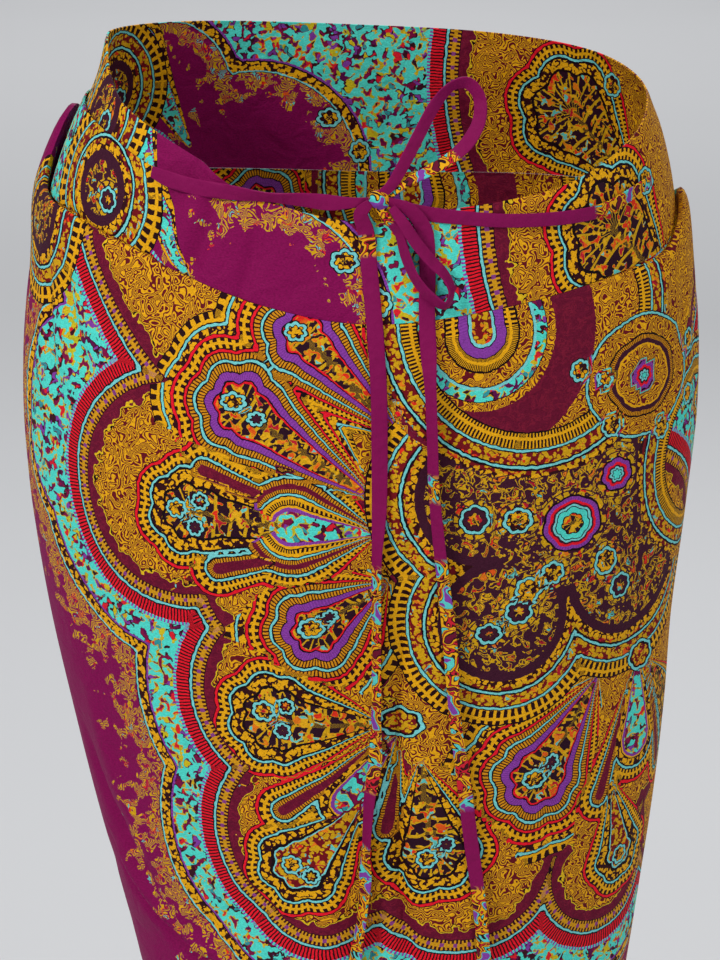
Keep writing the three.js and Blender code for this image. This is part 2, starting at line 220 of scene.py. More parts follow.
ROLL_SECTION = table("along out up down", [
    (0, 0, 0, 0),
    (0.1, 0.38, 0, 0.06),
    (0.25, 0.52, 0.55, 0.1),
    (0.4, 0.72, 1, 0.16),
    (0.52, 1, 0.88, 0.25),
    (0.68, 1.1, 0.4, 0.42),
    (0.84, 1, 0.08, 0.68),
    (1, 0.85, 0, 1),
])
# Soft lengthwise troughs (negative) and ridges that all layers share.
FOLDS = table("name angle drift start end spread height", [
    ("valley under the tie", -1, -2, 105, 740, 4.5, -4.5),
    ("ridge beside the valley", -11, -2, 150, 700, 6, 1.6),
    ("left thigh ridge", 24, 5, 170, 700, 8, 1.8),
    ("left hip trough", 58, -6, 120, 420, 7, -1.8),
    ("right hip trough", -58, 8, 130, 420, 7, -2),
    ("right thigh trough", -34, -4, 330, 740, 6, -2.4),
    ("right back trough", 222, 6, 150, 560, 8, -2.6),
    ("centre back trough", 182, -3, 230, 740, 7, -4),
    ("left back trough", 140, 4, 140, 520, 8, -2.4),
])
print(len(FOLDS), "folds that all layers share")

# %% [markdown]
# A table gives a few rows, and the cloth needs every value between them. The
# reader draws a smooth curve through one column, so that no section shows as an
# edge. It takes whole arrays, because a panel has tens of thousands of points.

# %% Reading a table as a smooth curve
def reader(rows, key, value):
    """A smooth curve through one column of a table, held level past both ends."""
    knots = np.array([row[key] for row in rows], float)
    values = np.array([row[value] for row in rows], float)
    last = len(rows) - 1
    before = np.maximum(np.arange(last + 1) - 1, 0)
    after = np.minimum(np.arange(last + 1) + 1, last)
    slopes = (values[after] - values[before]) / (knots[after] - knots[before])

    def read(x):
        x = np.clip(np.asarray(x, float), knots[0], knots[-1])
        k = np.clip(np.searchsorted(knots, x, side="right") - 1, 0, last - 1)
        span = knots[k + 1] - knots[k]
        t = (x - knots[k]) / span
        keep = (1 + 2 * t) * (1 - t) ** 2
        return (values[k] * keep + values[k + 1] * (1 - keep)
                + slopes[k] * span * t * (1 - t) ** 2 - slopes[k + 1] * span * t * t * (1 - t))

    return read


def smooth(x, start, end):
    """0 before the start, 1 after the end and a soft step between."""
    t = np.clip((x - start) / (end - start), 0, 1)
    return t * t * (3 - 2 * t)


form_half = {side: reader(FORM, "depth", side) for side in ("right", "left", "front", "back")}
outer_yoke_top = reader(OUTER_YOKE_TOP, "angle", "depth")
inner_yoke_top = reader(INNER_YOKE_TOP, "angle", "depth")
back_yoke_top = reader(BACK_YOKE_TOP, "angle", "depth")
yoke_seam = reader(YOKE_SEAM, "angle", "depth")
roll_stand = reader(HIP_ROLL, "angle", "stand")
roll_rise = reader(HIP_ROLL, "angle", "rise")
roll_out = reader(ROLL_SECTION, "along", "out")
roll_up = reader(ROLL_SECTION, "along", "up")
roll_down = reader(ROLL_SECTION, "along", "down")
print("the yoke is", round(float(yoke_seam(0) - outer_yoke_top(0))), "mm deep at centre front")

# %% [markdown]
# A place on the worn skirt is an angle round the body, a depth under the waist
# and how far it stands off the form. The shared folds lift or sink every layer
# alike, so that layers never cut through each other.

# %% Points on the worn form
def fold_height(angle, depth):
    """How far the shared folds lift the cloth at each place."""
    lift = np.zeros(np.broadcast(angle, depth).shape)
    turned = np.where(angle < -90, angle + 360, angle)
    for fold in FOLDS:
        centre = fold["angle"] + fold["drift"] * (depth - fold["start"]) / (fold["end"] - fold["start"])
        away = np.minimum(abs(angle - centre), abs(turned - centre)) / fold["spread"]
        ends = smooth(depth, fold["start"], fold["start"] + FOLD_FADE)
        if fold["end"] < HEM_DEPTH:
            ends = ends * (1 - smooth(depth, fold["end"] - FOLD_FADE, fold["end"]))
        lift += fold["height"] * ends * np.exp(-away * away)
    return lift


def form_point(angle, depth, out, folded=True):
    """Points (mm) at an angle and depth, so far outside the form. The last axis is x, y, z."""
    angle, depth, out = np.broadcast_arrays(*(np.asarray(a, float) for a in (angle, depth, out)))
    across = np.sin(np.radians(angle))
    ahead = np.cos(np.radians(angle))
    half_across = np.where(across > 0, form_half["left"](depth), form_half["right"](depth))
    half_ahead = np.where(ahead > 0, form_half["front"](depth), form_half["back"](depth))
    proud = out + (fold_height(angle, depth) if folded else 0)
    x = np.sign(across) * abs(across) ** (2 / ROUNDNESS) * half_across
    y = -np.sign(ahead) * abs(ahead) ** (2 / ROUNDNESS) * half_ahead
    return np.stack([x + across * proud, y - ahead * proud, -depth], -1)


def outer_layer(angle):
    """Where the wrong side of the outer wrap lies: it sinks to the side seam."""
    return OUTER_LAYER * (1 - smooth(angle, *LAYER_MERGE))


def even_angles(start, end, spacing):
    """Angles that are an even distance apart on the widest part of the hip."""
    fine = np.linspace(start, end, 2000)
    points = form_point(fine, HIP_DEPTH, 0, folded=False)
    run = np.r_[0, np.cumsum(np.linalg.norm(np.diff(points, axis=0), axis=1))]
    count = int(round(run[-1] / spacing)) + 1
    return np.interp(np.linspace(0, run[-1], count), run, fine)


print("centre front of the hips is at", form_point(0, HIP_DEPTH, 0).round(1), "mm")

# %% [markdown]
# ## Creases
# Worn cloth is never as smooth as its form. Where the ties pull, the yoke has
# shallow slanting troughs, puckers run from the seams, and soft creases cross
# the thighs. Each is a row: where its middle is, how long it is, how it leans
# and how deep it is. Similar ones lie on the sides and the back. A layer that
# lies under another takes that one's creases too, so that the two stay apart.

# %% Rows of creases
# Lean is in degrees from upright, positive to the wearer's left at the top.
CREASE = "angle depth length lean width height"
CREASES = {
    "yoke_outer_front": table(CREASE, [
        (-38, 60, 60, 30, 4, -2.6), (-29, 66, 60, 22, 4, -2.8), (-33, 64, 60, 26, 4, 1.6),
        (-46, 52, 50, 40, 4, 1.2), (-20, 76, 50, 14, 4, -2.2), (30, 66, 50, -60, 6, -0.7),
        (44, 62, 40, -70, 5, 0.6), (62, 52, 46, -38, 5, -0.8),
    ]),
    "yoke_inner_front": table(CREASE, [
        (-64, 30, 46, 38, 5, -1.0), (-58, 44, 40, 46, 4, 0.7), (-76, 30, 40, 10, 6, -0.8),
    ]),
    "yoke_back": table(CREASE, [
        (120, 40, 52, 30, 7, -0.9), (168, 36, 60, -20, 8, -0.8), (196, 38, 56, 16, 7, 0.7),
        (246, 26, 60, -34, 7, -1.0),
    ]),
    "skirt_outer_front": table(CREASE, [
        # puckers under the rolls at the hips
        (-70, 128, 72, -14, 4, -3.2), (-61, 118, 56, -22, 4, -2.6), (-78, 150, 80, 6, 6, -1.2),
        (-52, 112, 44, -30, 4, -1.3), (70, 120, 54, 16, 5, -1.2), (61, 128, 66, 26, 5, -0.9),
        (78, 146, 80, -4, 6, -1.1),
        # soft creases across the thighs
        (-44, 452, 120, 62, 8, -1.6), (-52, 474, 96, 56, 6, 1.1), (-30, 505, 130, 48, 9, -1.3),
        (-66, 408, 90, 34, 8, -1.0), (40, 430, 120, -40, 9, -0.9), (56, 500, 130, -34, 9, -1.2),
        (16, 600, 150, -14, 10, -1.2), (-48, 620, 140, 18, 10, -1.4), (-12, 300, 150, 4, 7, 0.7),
        # the deep valley beside the left tail
        (2.6, 350, 350, -1, 4, -4.4), (3.8, 430, 260, -3, 5, -2.4),
        # where the cloth gathers low on the wearer's right
        (-48, 462, 130, -60, 3.6, -6.0), (-54, 446, 110, -56, 6, 3.0),
        (-66, 392, 90, -34, 5, -4.2), (-60, 372, 110, -24, 7, 2.2),
        # beside the tails
        (-8, 420, 210, 3, 6, 1.4), (12, 240, 110, -8, 7, -0.6),
    ]),
    "skirt_back": table(CREASE, [
        (112, 140, 110, 12, 8, -1.5), (160, 250, 190, 22, 12, -1.8), (200, 262, 180, -26, 12, -1.7),
        (178, 300, 120, 78, 10, -1.4), (236, 150, 120, -14, 9, -1.6), (150, 460, 190, 10, 12, -1.6),
        (214, 520, 210, -8, 12, -1.8), (124, 560, 200, -6, 11, -1.4),
    ]),
    "skirt_inner_front": table(CREASE, [(-20, 400, 200, 8, 12, -0.5)]),
}
LIES_UNDER = {"yoke_inner_front": "yoke_outer_front", "skirt_inner_front": "skirt_outer_front"}
CREASE_BOW = 0.06  # how far a crease bows aside at its ends, as a share of its length
for piece, rows in CREASES.items():
    print(piece, "has", len(rows), "creases")

# %% Lifting the cloth by its creases
def cloth_across(angle, depth):
    """Distance (mm) round the body from centre front, or from centre back for the back."""
    start = 180 if angle > LEFT_SIDE_SEAM else 0
    points = form_point(np.linspace(start, angle, 200), depth, 0, folded=False)
    run = np.linalg.norm(np.diff(points, axis=0), axis=1).sum()
    return run if angle > start else -run


def crease_height(piece, across, down):
    """How far creases lift a piece, at places (mm) on its cut cloth."""
    lift = np.zeros(across.shape)
    for row in CREASES.get(LIES_UNDER.get(piece), []) + CREASES[piece]:
        lean = radians(row["lean"])
        dx, dy = across - cloth_across(row["angle"], row["depth"]), down - row["depth"]
        along = (dx * sin(lean) - dy * cos(lean)) / (row["length"] / 2)
        aside = dx * cos(lean) + dy * sin(lean)
        aside += CREASE_BOW * row["length"] * along ** 2 * np.sign(row["lean"] + 0.5)
        lift += row["height"] * np.exp(-(aside / row["width"]) ** 2) * np.exp(-along ** 4)
    return lift

# %% [markdown]
# ## A panel of cloth
# A panel starts as what it is on the table: a flat sheet, here a grid from
# Blender's own primitive. Each of its points is then laid on the form, which
# keeps the rows and columns of the weave, and Solidify gives it the thickness of
# a turned crepe edge. Its UV map is the cut cloth itself, in metres, so the
# print lies on the cloth and not on the form.

# %% Laying a flat sheet on the form
SHEET_CORNER = 50  # degrees, edges sharper than this stay sharp


def lay_panel(name, points, across, down):
    """A sheet whose rows of points run from its top edge to its hem."""
    rows, columns = points.shape[:2]
    start_clean()
    bpy.ops.mesh.primitive_grid_add(x_subdivisions=columns - 1, y_subdivisions=rows - 1, size=1)
    sheet = bpy.context.object
    sheet.name = sheet.data.name = name + "_cloth"
    count = len(sheet.data.vertices)
    flat = np.empty(count * 3)
    sheet.data.vertices.foreach_get("co", flat)
    flat = flat.reshape(-1, 3)
    column = np.rint((flat[:, 0] + 0.5) * (columns - 1)).astype(int)
    row = np.rint((0.5 - flat[:, 1]) * (rows - 1)).astype(int)
    sheet.data.vertices.foreach_set("co", (points[row, column] * MM).ravel())
    corners = np.empty(len(sheet.data.loops), int)
    sheet.data.loops.foreach_get("vertex_index", corners)
    uv = np.stack([across[row, column], -down[row, column]], -1)[corners] * MM
    sheet.data.uv_layers[0].name = "cut cloth"
    sheet.data.uv_layers[0].data.foreach_set("uv", uv.ravel())
    sheet.data.update()
    places = across[row, column], down[row, column]
    return sheet, places


def outward(points):
    """Unit vectors out of a laid grid."""
    along = np.gradient(points, axis=1)
    up = -np.gradient(points, axis=0)
    normal = np.cross(along, up)
    return normal / np.linalg.norm(normal, axis=-1, keepdims=True)


def thicken(sheet, thickness):
    """Gives the sheet its thickness, inwards, and smooth shading."""
    start_clean()
    sheet.select_set(True)
    bpy.context.view_layer.objects.active = sheet
    solid = sheet.modifiers.new("cloth", "SOLIDIFY")
    solid.thickness = thickness * MM
    solid.offset = -1
    solid.material_offset = 1
    bpy.ops.object.modifier_apply(modifier=solid.name)
    bpy.ops.object.shade_smooth_by_angle(angle=radians(SHEET_CORNER))


def cut_places(angles, points):
    """Distance across the cut cloth for each point of a laid grid."""
    steps = np.linalg.norm(np.diff(points, axis=1), axis=-1)
    run = np.concatenate([np.zeros((len(points), 1)), np.cumsum(steps, axis=1)], axis=1)
    zero = 180 if angles[0] > 0 else 0
    start = np.array([np.interp(zero, angles, line) for line in run])
    return run - start[:, None]

# %% [markdown]
# A yoke panel is a plain band between its top edge and the seam. Both edges are
# turned in, so the last few millimetres roll gently under.

# %% Yoke panels
EDGE_TURN = 2.2  # mm of the edge that rolls under
EDGE_SINK = 0.35


def edge_sink(down, top, bottom):
    """The turned edges lie a little lower than the cloth beside them."""
    near = np.minimum(down - top, bottom - down)
    return EDGE_SINK * (1 - smooth(near, 0, EDGE_TURN)) ** 2


def yoke_panel(name, angles, top, layer, rows):
    """A band from its top edge down to the yoke's seam."""
    share = np.linspace(0, 1, rows)[:, None]
    upper, lower = top(angles)[None], yoke_seam(angles)[None]
    down = upper + (lower - upper) * share
    out = layer(angles)[None]
    points = form_point(angles[None], down, out)
    across = cut_places(angles, form_point(angles[None], down, out, folded=False))
    lift = CLOTH + crease_height(name, across, down) - edge_sink(down, upper, lower)
    return lay_panel(name, points + outward(points) * lift[..., None], across, down)

# %% [markdown]
# A skirt panel hangs from that seam. At the hips its top is fuller than the yoke
# and rolls out over the seam, so its first rows follow the section of a roll. On
# the cut cloth the roll is laid flat, above the rows that run down to the hem.

# %% Skirt panels
ROLL_ROWS = 26
CREASED_FROM = (10, 34)  # mm below the seam, between which the creases set in
NO_EDGE = -1000  # mm, a top edge that lies nowhere near


def skirt_panel(name, angles, hem, layer, rolled, below):
    """A panel from the yoke's seam to the hem, with its roll at the hips."""
    stand, rise = roll_stand(angles)[None], roll_rise(angles)[None]
    if not rolled:
        stand, rise = 0 * stand, 0 * rise
    start = yoke_seam(angles)[None] + SEAM_GAP + CLOTH * np.minimum(1, stand / ROLL_DROP)
    along = np.linspace(0, 1, ROLL_ROWS)[:, None]
    top_depth = start + ROLL_LENGTH * roll_down(along) - rise * roll_up(along)
    top_out = stand * roll_out(along)
    roll_end = start + ROLL_LENGTH
    low_depth = roll_end + (hem - roll_end) * below[1:, None]
    fullness = roll_out(1) * (1 - smooth(low_depth, roll_end, roll_end + ROLL_SETTLE))
    depth = np.concatenate([top_depth, low_depth])
    out = layer(angles)[None] + np.concatenate([top_out, stand * fullness])
    points = form_point(angles[None], depth, out)
    across = cut_places(angles, form_point(angles[None], depth, out, folded=False))
    steps = np.linalg.norm(np.diff(points[:ROLL_ROWS], axis=0), axis=-1)
    above = np.cumsum(steps[::-1], axis=0)[::-1]
    down = depth.copy()
    down[:ROLL_ROWS - 1] = depth[ROLL_ROWS - 1] - above
    creased = smooth(depth, start + CREASED_FROM[0], start + CREASED_FROM[1])
    lift = CLOTH + creased * crease_height(name, across, depth) - edge_sink(depth, NO_EDGE, hem)
    lift -= EDGE_SINK * (1 - smooth(down - down[:1], 0, EDGE_TURN)) ** 2
    return lay_panel(name, points + outward(points) * lift[..., None], across, down)

# %% [markdown]
# The columns and rows of a sheet stand a few millimetres apart. They are closer
# together on the front and its upper part, where the fine bands of the print
# are seen best, and the inner front and the back are laid wider.

# %% Laying the panels
OUT_OF_SIGHT = -92  # degrees, past which the outer wrap's columns stand wider apart
SEEN_SHARE = 0.62  # of the outer front's length, with its rows closer together
seam_turn = np.degrees(SEAM_GAP / (2 * float(form_half["left"](0))))  # half the gap at a side seam


def on_form(angles):
    """The inner layer lies right on the form."""
    return 0 * angles


def outer_columns(hidden, seen):
    """Angles across the outer wrap, so many mm apart out of sight and in sight."""
    behind = even_angles(OUTER_WRAP_EDGE, OUT_OF_SIGHT, hidden)
    return np.r_[behind[:-1], even_angles(OUT_OF_SIGHT, LEFT_SIDE_SEAM - seam_turn, seen)]


def inner_columns(spacing):
    """Angles across the inner front, from the right side seam to its free edge."""
    return even_angles(RIGHT_SIDE_SEAM + seam_turn, INNER_WRAP_EDGE, spacing)


back_columns = even_angles(LEFT_SIDE_SEAM + seam_turn, RIGHT_SIDE_SEAM + 360 - seam_turn, 5)
front_rows = np.r_[np.linspace(0, SEEN_SHARE, 150), np.linspace(SEEN_SHARE, 1, 41)[1:]]
back_rows = np.linspace(0, 1, 110)
YOKES = [
    # name, columns, top edge, layer, rows
    ("yoke_outer_front", outer_columns(5, 2.2), outer_yoke_top, outer_layer, 26),
    ("yoke_inner_front", inner_columns(2.6), inner_yoke_top, on_form, 30),
    ("yoke_back", back_columns, back_yoke_top, on_form, 26),
]
SKIRTS = [
    # name, columns, hem, layer, rolled at the hips, rows
    ("skirt_outer_front", outer_columns(6, 2.9), HEM_DEPTH, outer_layer, True, front_rows),
    ("skirt_inner_front", inner_columns(6), HEM_DEPTH - UNDER_HEM_RISE, on_form, False, back_rows),
    ("skirt_back", back_columns, HEM_DEPTH - UNDER_HEM_RISE / 2, on_form, True, back_rows),
]
laid = {row[0]: yoke_panel(*row) for row in YOKES}
laid.update({row[0]: skirt_panel(*row) for row in SKIRTS})
panels = {name: sheet for name, (sheet, places) in laid.items()}
for name, sheet in panels.items():
    print(name, "is laid with", len(sheet.data.vertices), "points")

# %% [markdown]
# ## The printed design
# The print is a shawl design of ordinary kinds of motif: a frame of round lobes
# round a maroon ground, teardrops and palmettes that meet at hubs, a dark field
# of flowers with round hollows, and small blooms on top. Each motif is a disc or
# a teardrop on the cut cloth, with its middle in millimetres across and down.

# %% Motifs on the skirt
DISC = "across down radius"
TEARDROP = "style tip_across tip_down across down radius scallops"
BLOOM = "style across down wide high"

SKIRT_PRINT = {
    "middle": (60, 250),
    "lobes": table(DISC, [
        (36, -20, 222), (-103, 194, 63), (-38, 232, 60), (-40, 300, 58), (-25, 379, 62),
        (-28, 409, 38), (44, 393, 59), (130, 415, 43), (110, 290, 120), (205, 400, 50),
    ]),
    "border": table(DISC, [(-150, 168, 64)]),
    "clearing": [],
    "garden": table(DISC, [
        (54, 194, 36), (64, 260, 34), (138, 239, 41), (98, 200, 50), (-208, 70, 20),
    ]),
    "hollows": table(DISC, [(79, 102, 85), (200, 191, 61)]),
    "teardrops": table(TEARDROP, [
        ("palmette", 1, 213, -96, 204, 20, 7),
        ("large drop", 1, 213, -43, 208, 25, 0),
        ("shield", 0, 196, -68, 149, 21, 7),
        ("shield", 14, 164, -36, 112, 18, 6),
        ("shield", 6, 238, -30, 263, 20, 7),
        ("finger", 1, 213, -88, 182, 6, 0),
        ("finger", 1, 213, -81, 233, 6, 0),
        ("palmette", 4, 318, -51, 314, 23, 8),
        ("small drop", 10, 324, -15, 360, 15, 0),
        ("ember", -6, 360, -40, 398, 20, 7),
        ("palmette", 22, 336, 29, 389, 22, 7),
        ("shield", 120, 300, 85, 351, 23, 8),
        ("small drop", 151, 298, 152, 346, 17, 0),
        ("ember", 133, 366, 142, 412, 16, 6),
        ("finger", 8, 322, -48, 366, 6, 0),
        ("finger", 12, 330, 5, 378, 6, 0),
        ("finger", 146, 306, 124, 372, 6, 0),
        ("finger", 158, 306, 182, 370, 6, 0),
        ("palmette", 158, 302, 205, 352, 18, 6),
        ("hook", 30, -60, 51, 112, 47, 0),
    ]),
    "blooms": table(BLOOM, [
        ("medallion", 143, 142, 35, 30),
        ("gold ring", 103, 134, 5, 5),
        ("gold ring", 122, 164, 5.5, 5.5),
        ("gold ring", 158, 172, 5.5, 5.5),
        ("gold ring", 184, 160, 5, 5),
        ("gold ring", 186, 132, 5, 5),
        ("dark ring", 48, 205, 7, 7),
        ("gold ring", 70, 207, 7, 6),
        ("rose", 100, 212, 16, 14),
        ("gold ring", 76, 244, 6.5, 6),
        ("gold ring", 89, 237, 6, 5.5),
        ("dark ring", 71, 256, 6.5, 6),
        ("gold ring", 121, 236, 6.5, 7),
        ("dark ring", 132, 252, 6.5, 6.5),
        ("dark ring", 56, 267, 6, 5),
        ("rose", 126, 190, 9, 8),
        ("rose", 143, 142, 8, 7),
        ("gold ring", -103, 203, 5, 4.5), ("dark ring", -93, 212, 4, 4), ("ember ring", -90, 198, 4, 4),
        ("gold ring", -72, 146, 6, 4), ("dark ring", -60, 154, 4, 3),
        ("gold ring", -40, 110, 5, 4), ("gold ring", -33, 262, 6, 5), ("dark ring", -24, 256, 3.5, 3),
        ("gold ring", -58, 310, 5.5, 5), ("dark ring", -48, 320, 4, 4), ("ember ring", -46, 306, 4, 4),
        ("gold ring", -44, 398, 5, 5), ("ember ring", -34, 404, 4, 4), ("gold ring", 26, 394, 5, 5),
        ("dark ring", 36, 386, 4, 4), ("gold ring", 82, 352, 6, 5), ("dark ring", 92, 344, 3.5, 4),
        ("gold ring", 142, 414, 5, 5), ("gold ring", 118, 140, 4, 4),
        ("ember ring", 12, 316, 11, 8),
        ("ember ring", 153, 298, 9, 8),
    ]),
}
print("the skirt has", len(SKIRT_PRINT["teardrops"]), "teardrops and", len(SKIRT_PRINT["blooms"]), "blooms")

# %% Motifs on the yoke
YOKE_PRINT = {
    "middle": (400, 50),
    "lobes": table(DISC, [(215, 50, 167), (-138, 112, 31)]),
    "border": [],
    "clearing": table(DISC, [(-60, 108, 68), (-112, 56, 48)]),
    "garden": table(DISC, [(-153, 50, 18)]),
    "hollows": [],
    "teardrops": table(TEARDROP, [
        ("palmette", 176, 112, 124, 68, 29, 7),
        ("wedge", -94, 94, -130, 28, 12, 0),
    ]),
    "blooms": table(BLOOM, [
        ("dark ring", -147, 55, 5.5, 5.5),
        ("gold ring", -16, 76, 6, 5),
        ("gold ring", 1, 96, 5, 6),
        ("gold ring", 152, 48, 6, 6),
    ]),
}
print("the yoke has", len(YOKE_PRINT["teardrops"]), "teardrops and", len(YOKE_PRINT["blooms"]), "blooms")

# %% [markdown]
# The design is drawn by distance: how far each point of the cloth lies from the
# outline of the nearest motif, and how far along that outline. Rings of equal
# distance become the painted bands, and the way along spaces their rungs.

# %% Distances from discs and teardrops
FAR = 400
SCALLOP_DEPTH = 0.15  # of a teardrop's radius
SCALLOPS_FROM = 0.7  # of its length, from the tip


def from_discs(across, down, discs, middle):
    """Distance from the outline of several joined discs, and the way along it."""
    away, along = np.full(across.shape, float(FAR)), np.zeros(across.shape)
    for disc in discs:
        x, y = across - disc["across"], down - disc["down"]
        out_x, out_y = disc["across"] - middle[0], disc["down"] - middle[1]
        here = np.hypot(x, y) - disc["radius"]
        round_it = np.arctan2(out_x * y - out_y * x, out_x * x + out_y * y) * disc["radius"]
        nearer = here < away
        away, along = np.where(nearer, here, away), np.where(nearer, round_it, along)
    return away, along


def from_teardrops(across, down, teardrops):
    """The same for teardrops. All rings of a teardrop meet at its tip."""
    away = np.full(across.shape, float(FAR))
    along, style = np.zeros(across.shape), np.zeros(across.shape)
    for drop in teardrops:
        x, y = across - drop["tip_across"], down - drop["tip_down"]
        axis_x, axis_y = drop["across"] - drop["tip_across"], drop["down"] - drop["tip_down"]
        length = np.hypot(axis_x, axis_y)
        ahead = (x * axis_x + y * axis_y) / length
        aside = (y * axis_x - x * axis_y) / length
        reach, lean = np.hypot(ahead, aside), abs(np.arctan2(aside, ahead))
        straight = (ahead > 0) & (reach < length * np.cos(lean))
        round_it = np.arctan2(aside, ahead - length)
        size = np.where(straight, length * np.sin(lean), np.hypot(ahead - length, aside))
        wave = abs(np.sin(round_it * drop["scallops"] / 2)) * smooth(ahead, SCALLOPS_FROM * length, length)
        here = size - drop["radius"] - SCALLOP_DEPTH * drop["radius"] * wave
        down_side = (pi / 2 + lean) * drop["radius"] + length * np.cos(lean) - reach
        way = np.where(straight, np.sign(aside) * down_side, round_it * drop["radius"])
        nearer = here < away
        away, along = np.where(nearer, here, away), np.where(nearer, way, along)
        style = np.where(nearer, list(DROP_BANDS).index(drop["style"]), style)
    return away, along, style

# %% [markdown]
# A bloom is small and lies on top of all else. So the cloth keeps where each
# point lies from the middle of the nearest bloom, and the print draws its rings
# and petals from that.

# %% Places round the blooms
BLOOM_HOLD = 1.2  # mm round a bloom that no earlier one keeps from it
BLOOM_FIELD = 6  # mm round a bloom that it may take at all


def from_blooms(across, down, blooms):
    """Where each point lies from the middle of the nearest bloom, its kind and its size (mm)."""
    near = np.full(across.shape, float(FAR))
    x, y, style, size = (np.full(across.shape, value, float) for value in (FAR, FAR, 0, 1))
    for bloom in blooms:
        radius = min(bloom["wide"], bloom["high"])
        here_x = (across - bloom["across"]) / bloom["wide"] * radius
        here_y = (down - bloom["down"]) / bloom["high"] * radius
        here = np.hypot(here_x, here_y) - radius
        nearer = (here < BLOOM_HOLD) | (here < np.minimum(near, BLOOM_FIELD))
        near = np.where(nearer, here, near)
        x, y = np.where(nearer, here_x, x), np.where(nearer, here_y, y)
        style = np.where(nearer, list(BLOOM_BANDS).index(bloom["style"]), style)
        size = np.where(nearer, radius, size)
    return (x, y, style), (size, near, 0 * near)

# %% [markdown]
# Below the frame the design returns upside down, as a mirrored repeat. Panels
# that do not show the front of it carry the same design, shifted or mirrored.
# The rings round the dark garden and the rims of its hollows meet in a narrow
# joint, where a line of lace is left between them.

# %% Laying the design on a panel
MIRROR_LINE = 492  # mm down, where the design turns back
EDGE_BANDS = 8  # mm of thin bands inside the outline of a clearing
QUICK_FADE = 1.7  # how much faster the foliage fades in a clearing than in the border
GARDEN_REACH = 27  # how far the rings round the garden reach out (mm)
JOINT = 3  # lace left between the garden's rings and a hollow's (mm)
PRINT_ON = {
    # panel: the design, mirrored across, shifted across and down (mm)
    "yoke_outer_front": (YOKE_PRINT, 1, 0, 0),
    "yoke_inner_front": (YOKE_PRINT, 1, -20, -34),
    "yoke_back": (YOKE_PRINT, -1, 10, -30),
    "skirt_outer_front": (SKIRT_PRINT, 1, 0, 0),
    "skirt_inner_front": (SKIRT_PRINT, 1, -70, 40),
    "skirt_back": (SKIRT_PRINT, -1, 30, -18),
}


def border_field(across, down, design, lobes, lobes_along):
    """Distance into the border, or out of a clearing, and the way along it."""
    if design["clearing"]:
        clear, along = from_discs(across, down, design["clearing"], design["middle"])
        fading = EDGE_BANDS + QUICK_FADE * (-clear - EDGE_BANDS)
        return np.where(-clear > EDGE_BANDS, fading, -clear), along
    border, along = from_discs(across, down, design["border"], design["middle"])
    framed = lobes - BORDER_WIDTH
    return np.minimum(border, framed), np.where(border < framed, along, lobes_along)


def garden_field(across, down, design):
    """Distance from the garden or from a hollow's rim, the way along, and how far past its rings."""
    garden, along = from_discs(across, down, design["garden"], design["middle"])
    reach = garden - GARDEN_REACH
    for hollow in design["hollows"]:
        rim, rim_along = from_discs(across, down, [hollow], design["middle"])
        joint = np.minimum(JOINT / 2 - abs(rim), garden + JOINT / 2)
        reach = np.maximum(np.minimum(reach, rim), joint)
        garden, along = np.where(rim < 0, -rim, garden), np.where(rim < 0, rim_along, along)
    return garden, along, reach


def lay_print(sheet, places, design, mirrored, shift_across, shift_down):
    """Keeps on the cloth how far every point lies from the motifs of its design."""
    across = mirrored * (places[0] - shift_across)
    down = places[1] - shift_down
    down = np.where(down > MIRROR_LINE, 2 * MIRROR_LINE - down, down)
    lobes, lobes_along = from_discs(across, down, design["lobes"], design["middle"])
    border, border_along = border_field(across, down, design, lobes, lobes_along)
    level = np.zeros(across.shape)
    blooms, bloom_size = from_blooms(across, down, design["blooms"])
    fields = {
        "border": (border, border_along, level),
        "lobes": (lobes, lobes_along, level),
        "teardrops": from_teardrops(across, down, design["teardrops"]),
        "garden": garden_field(across, down, design),
        "blooms": blooms,
        "bloom size": bloom_size,
    }
    for name, field in fields.items():
        kept = sheet.data.attributes.new(name, "FLOAT_VECTOR", "POINT")
        kept.data.foreach_set("vector", np.stack(field, -1).ravel())

# %% [markdown]
# ## The painted bands
# Each outline is followed by bands, as a printer cuts them: thin cyan and red
# lines between dark ones, gold rungs, beads and ticks, then a wide patterned
# ground. A row says at which distance (mm) a band starts and what is printed
# there, negative inside the outline. The last band runs on.

# %% Bands
BORDER_WIDTH = 25
BORDER_BANDS = [
    (-2, "turquoise florals"), (0, "violet"), (1.2, "dark"), (2, "gold beads"), (7, "cyan"), (8, "dark"),
    (8.6, "foliage"), (46, "magenta"),
]
LOBE_BANDS = [
    (-16, "maroon"), (-8, "dark"), (-7.6, "studded rungs"), (-5.7, "studs"), (-3.5, "studded rungs"),
    (-1.5, "dark"), (-1, "cyan"), (0.3, "dark"), (1, "red ladder"), (8, "violet teeth"), (9.8, "bare"),
]
LACE_BANDS = [(-18, "vermicelli"), (-15.2, "dark"), (-14.7, "yellow"), (-13.9, "bare")]
OUTER_RINGS = [
    (0, "cyan"), (1.2, "dark"), (1.8, "gold rungs"), (7.2, "dark"), (7.8, "red"), (9.2, "dark"),
    (9.7, "bare"),
]
SHIELD_RINGS = [
    (0, "cyan"), (1.2, "dark"), (1.8, "orange ticks"), (4.8, "dark"), (5.3, "red"), (6.7, "dark"),
    (7.2, "gold rungs"), (12.2, "dark"), (12.7, "red"), (14, "dark"), (14.5, "gold beads"), (18, "dark"),
    (18.5, "cyan"), (19.7, "dark"), (20.2, "gold rungs"), (25.4, "dark"), (26, "bare"),
]
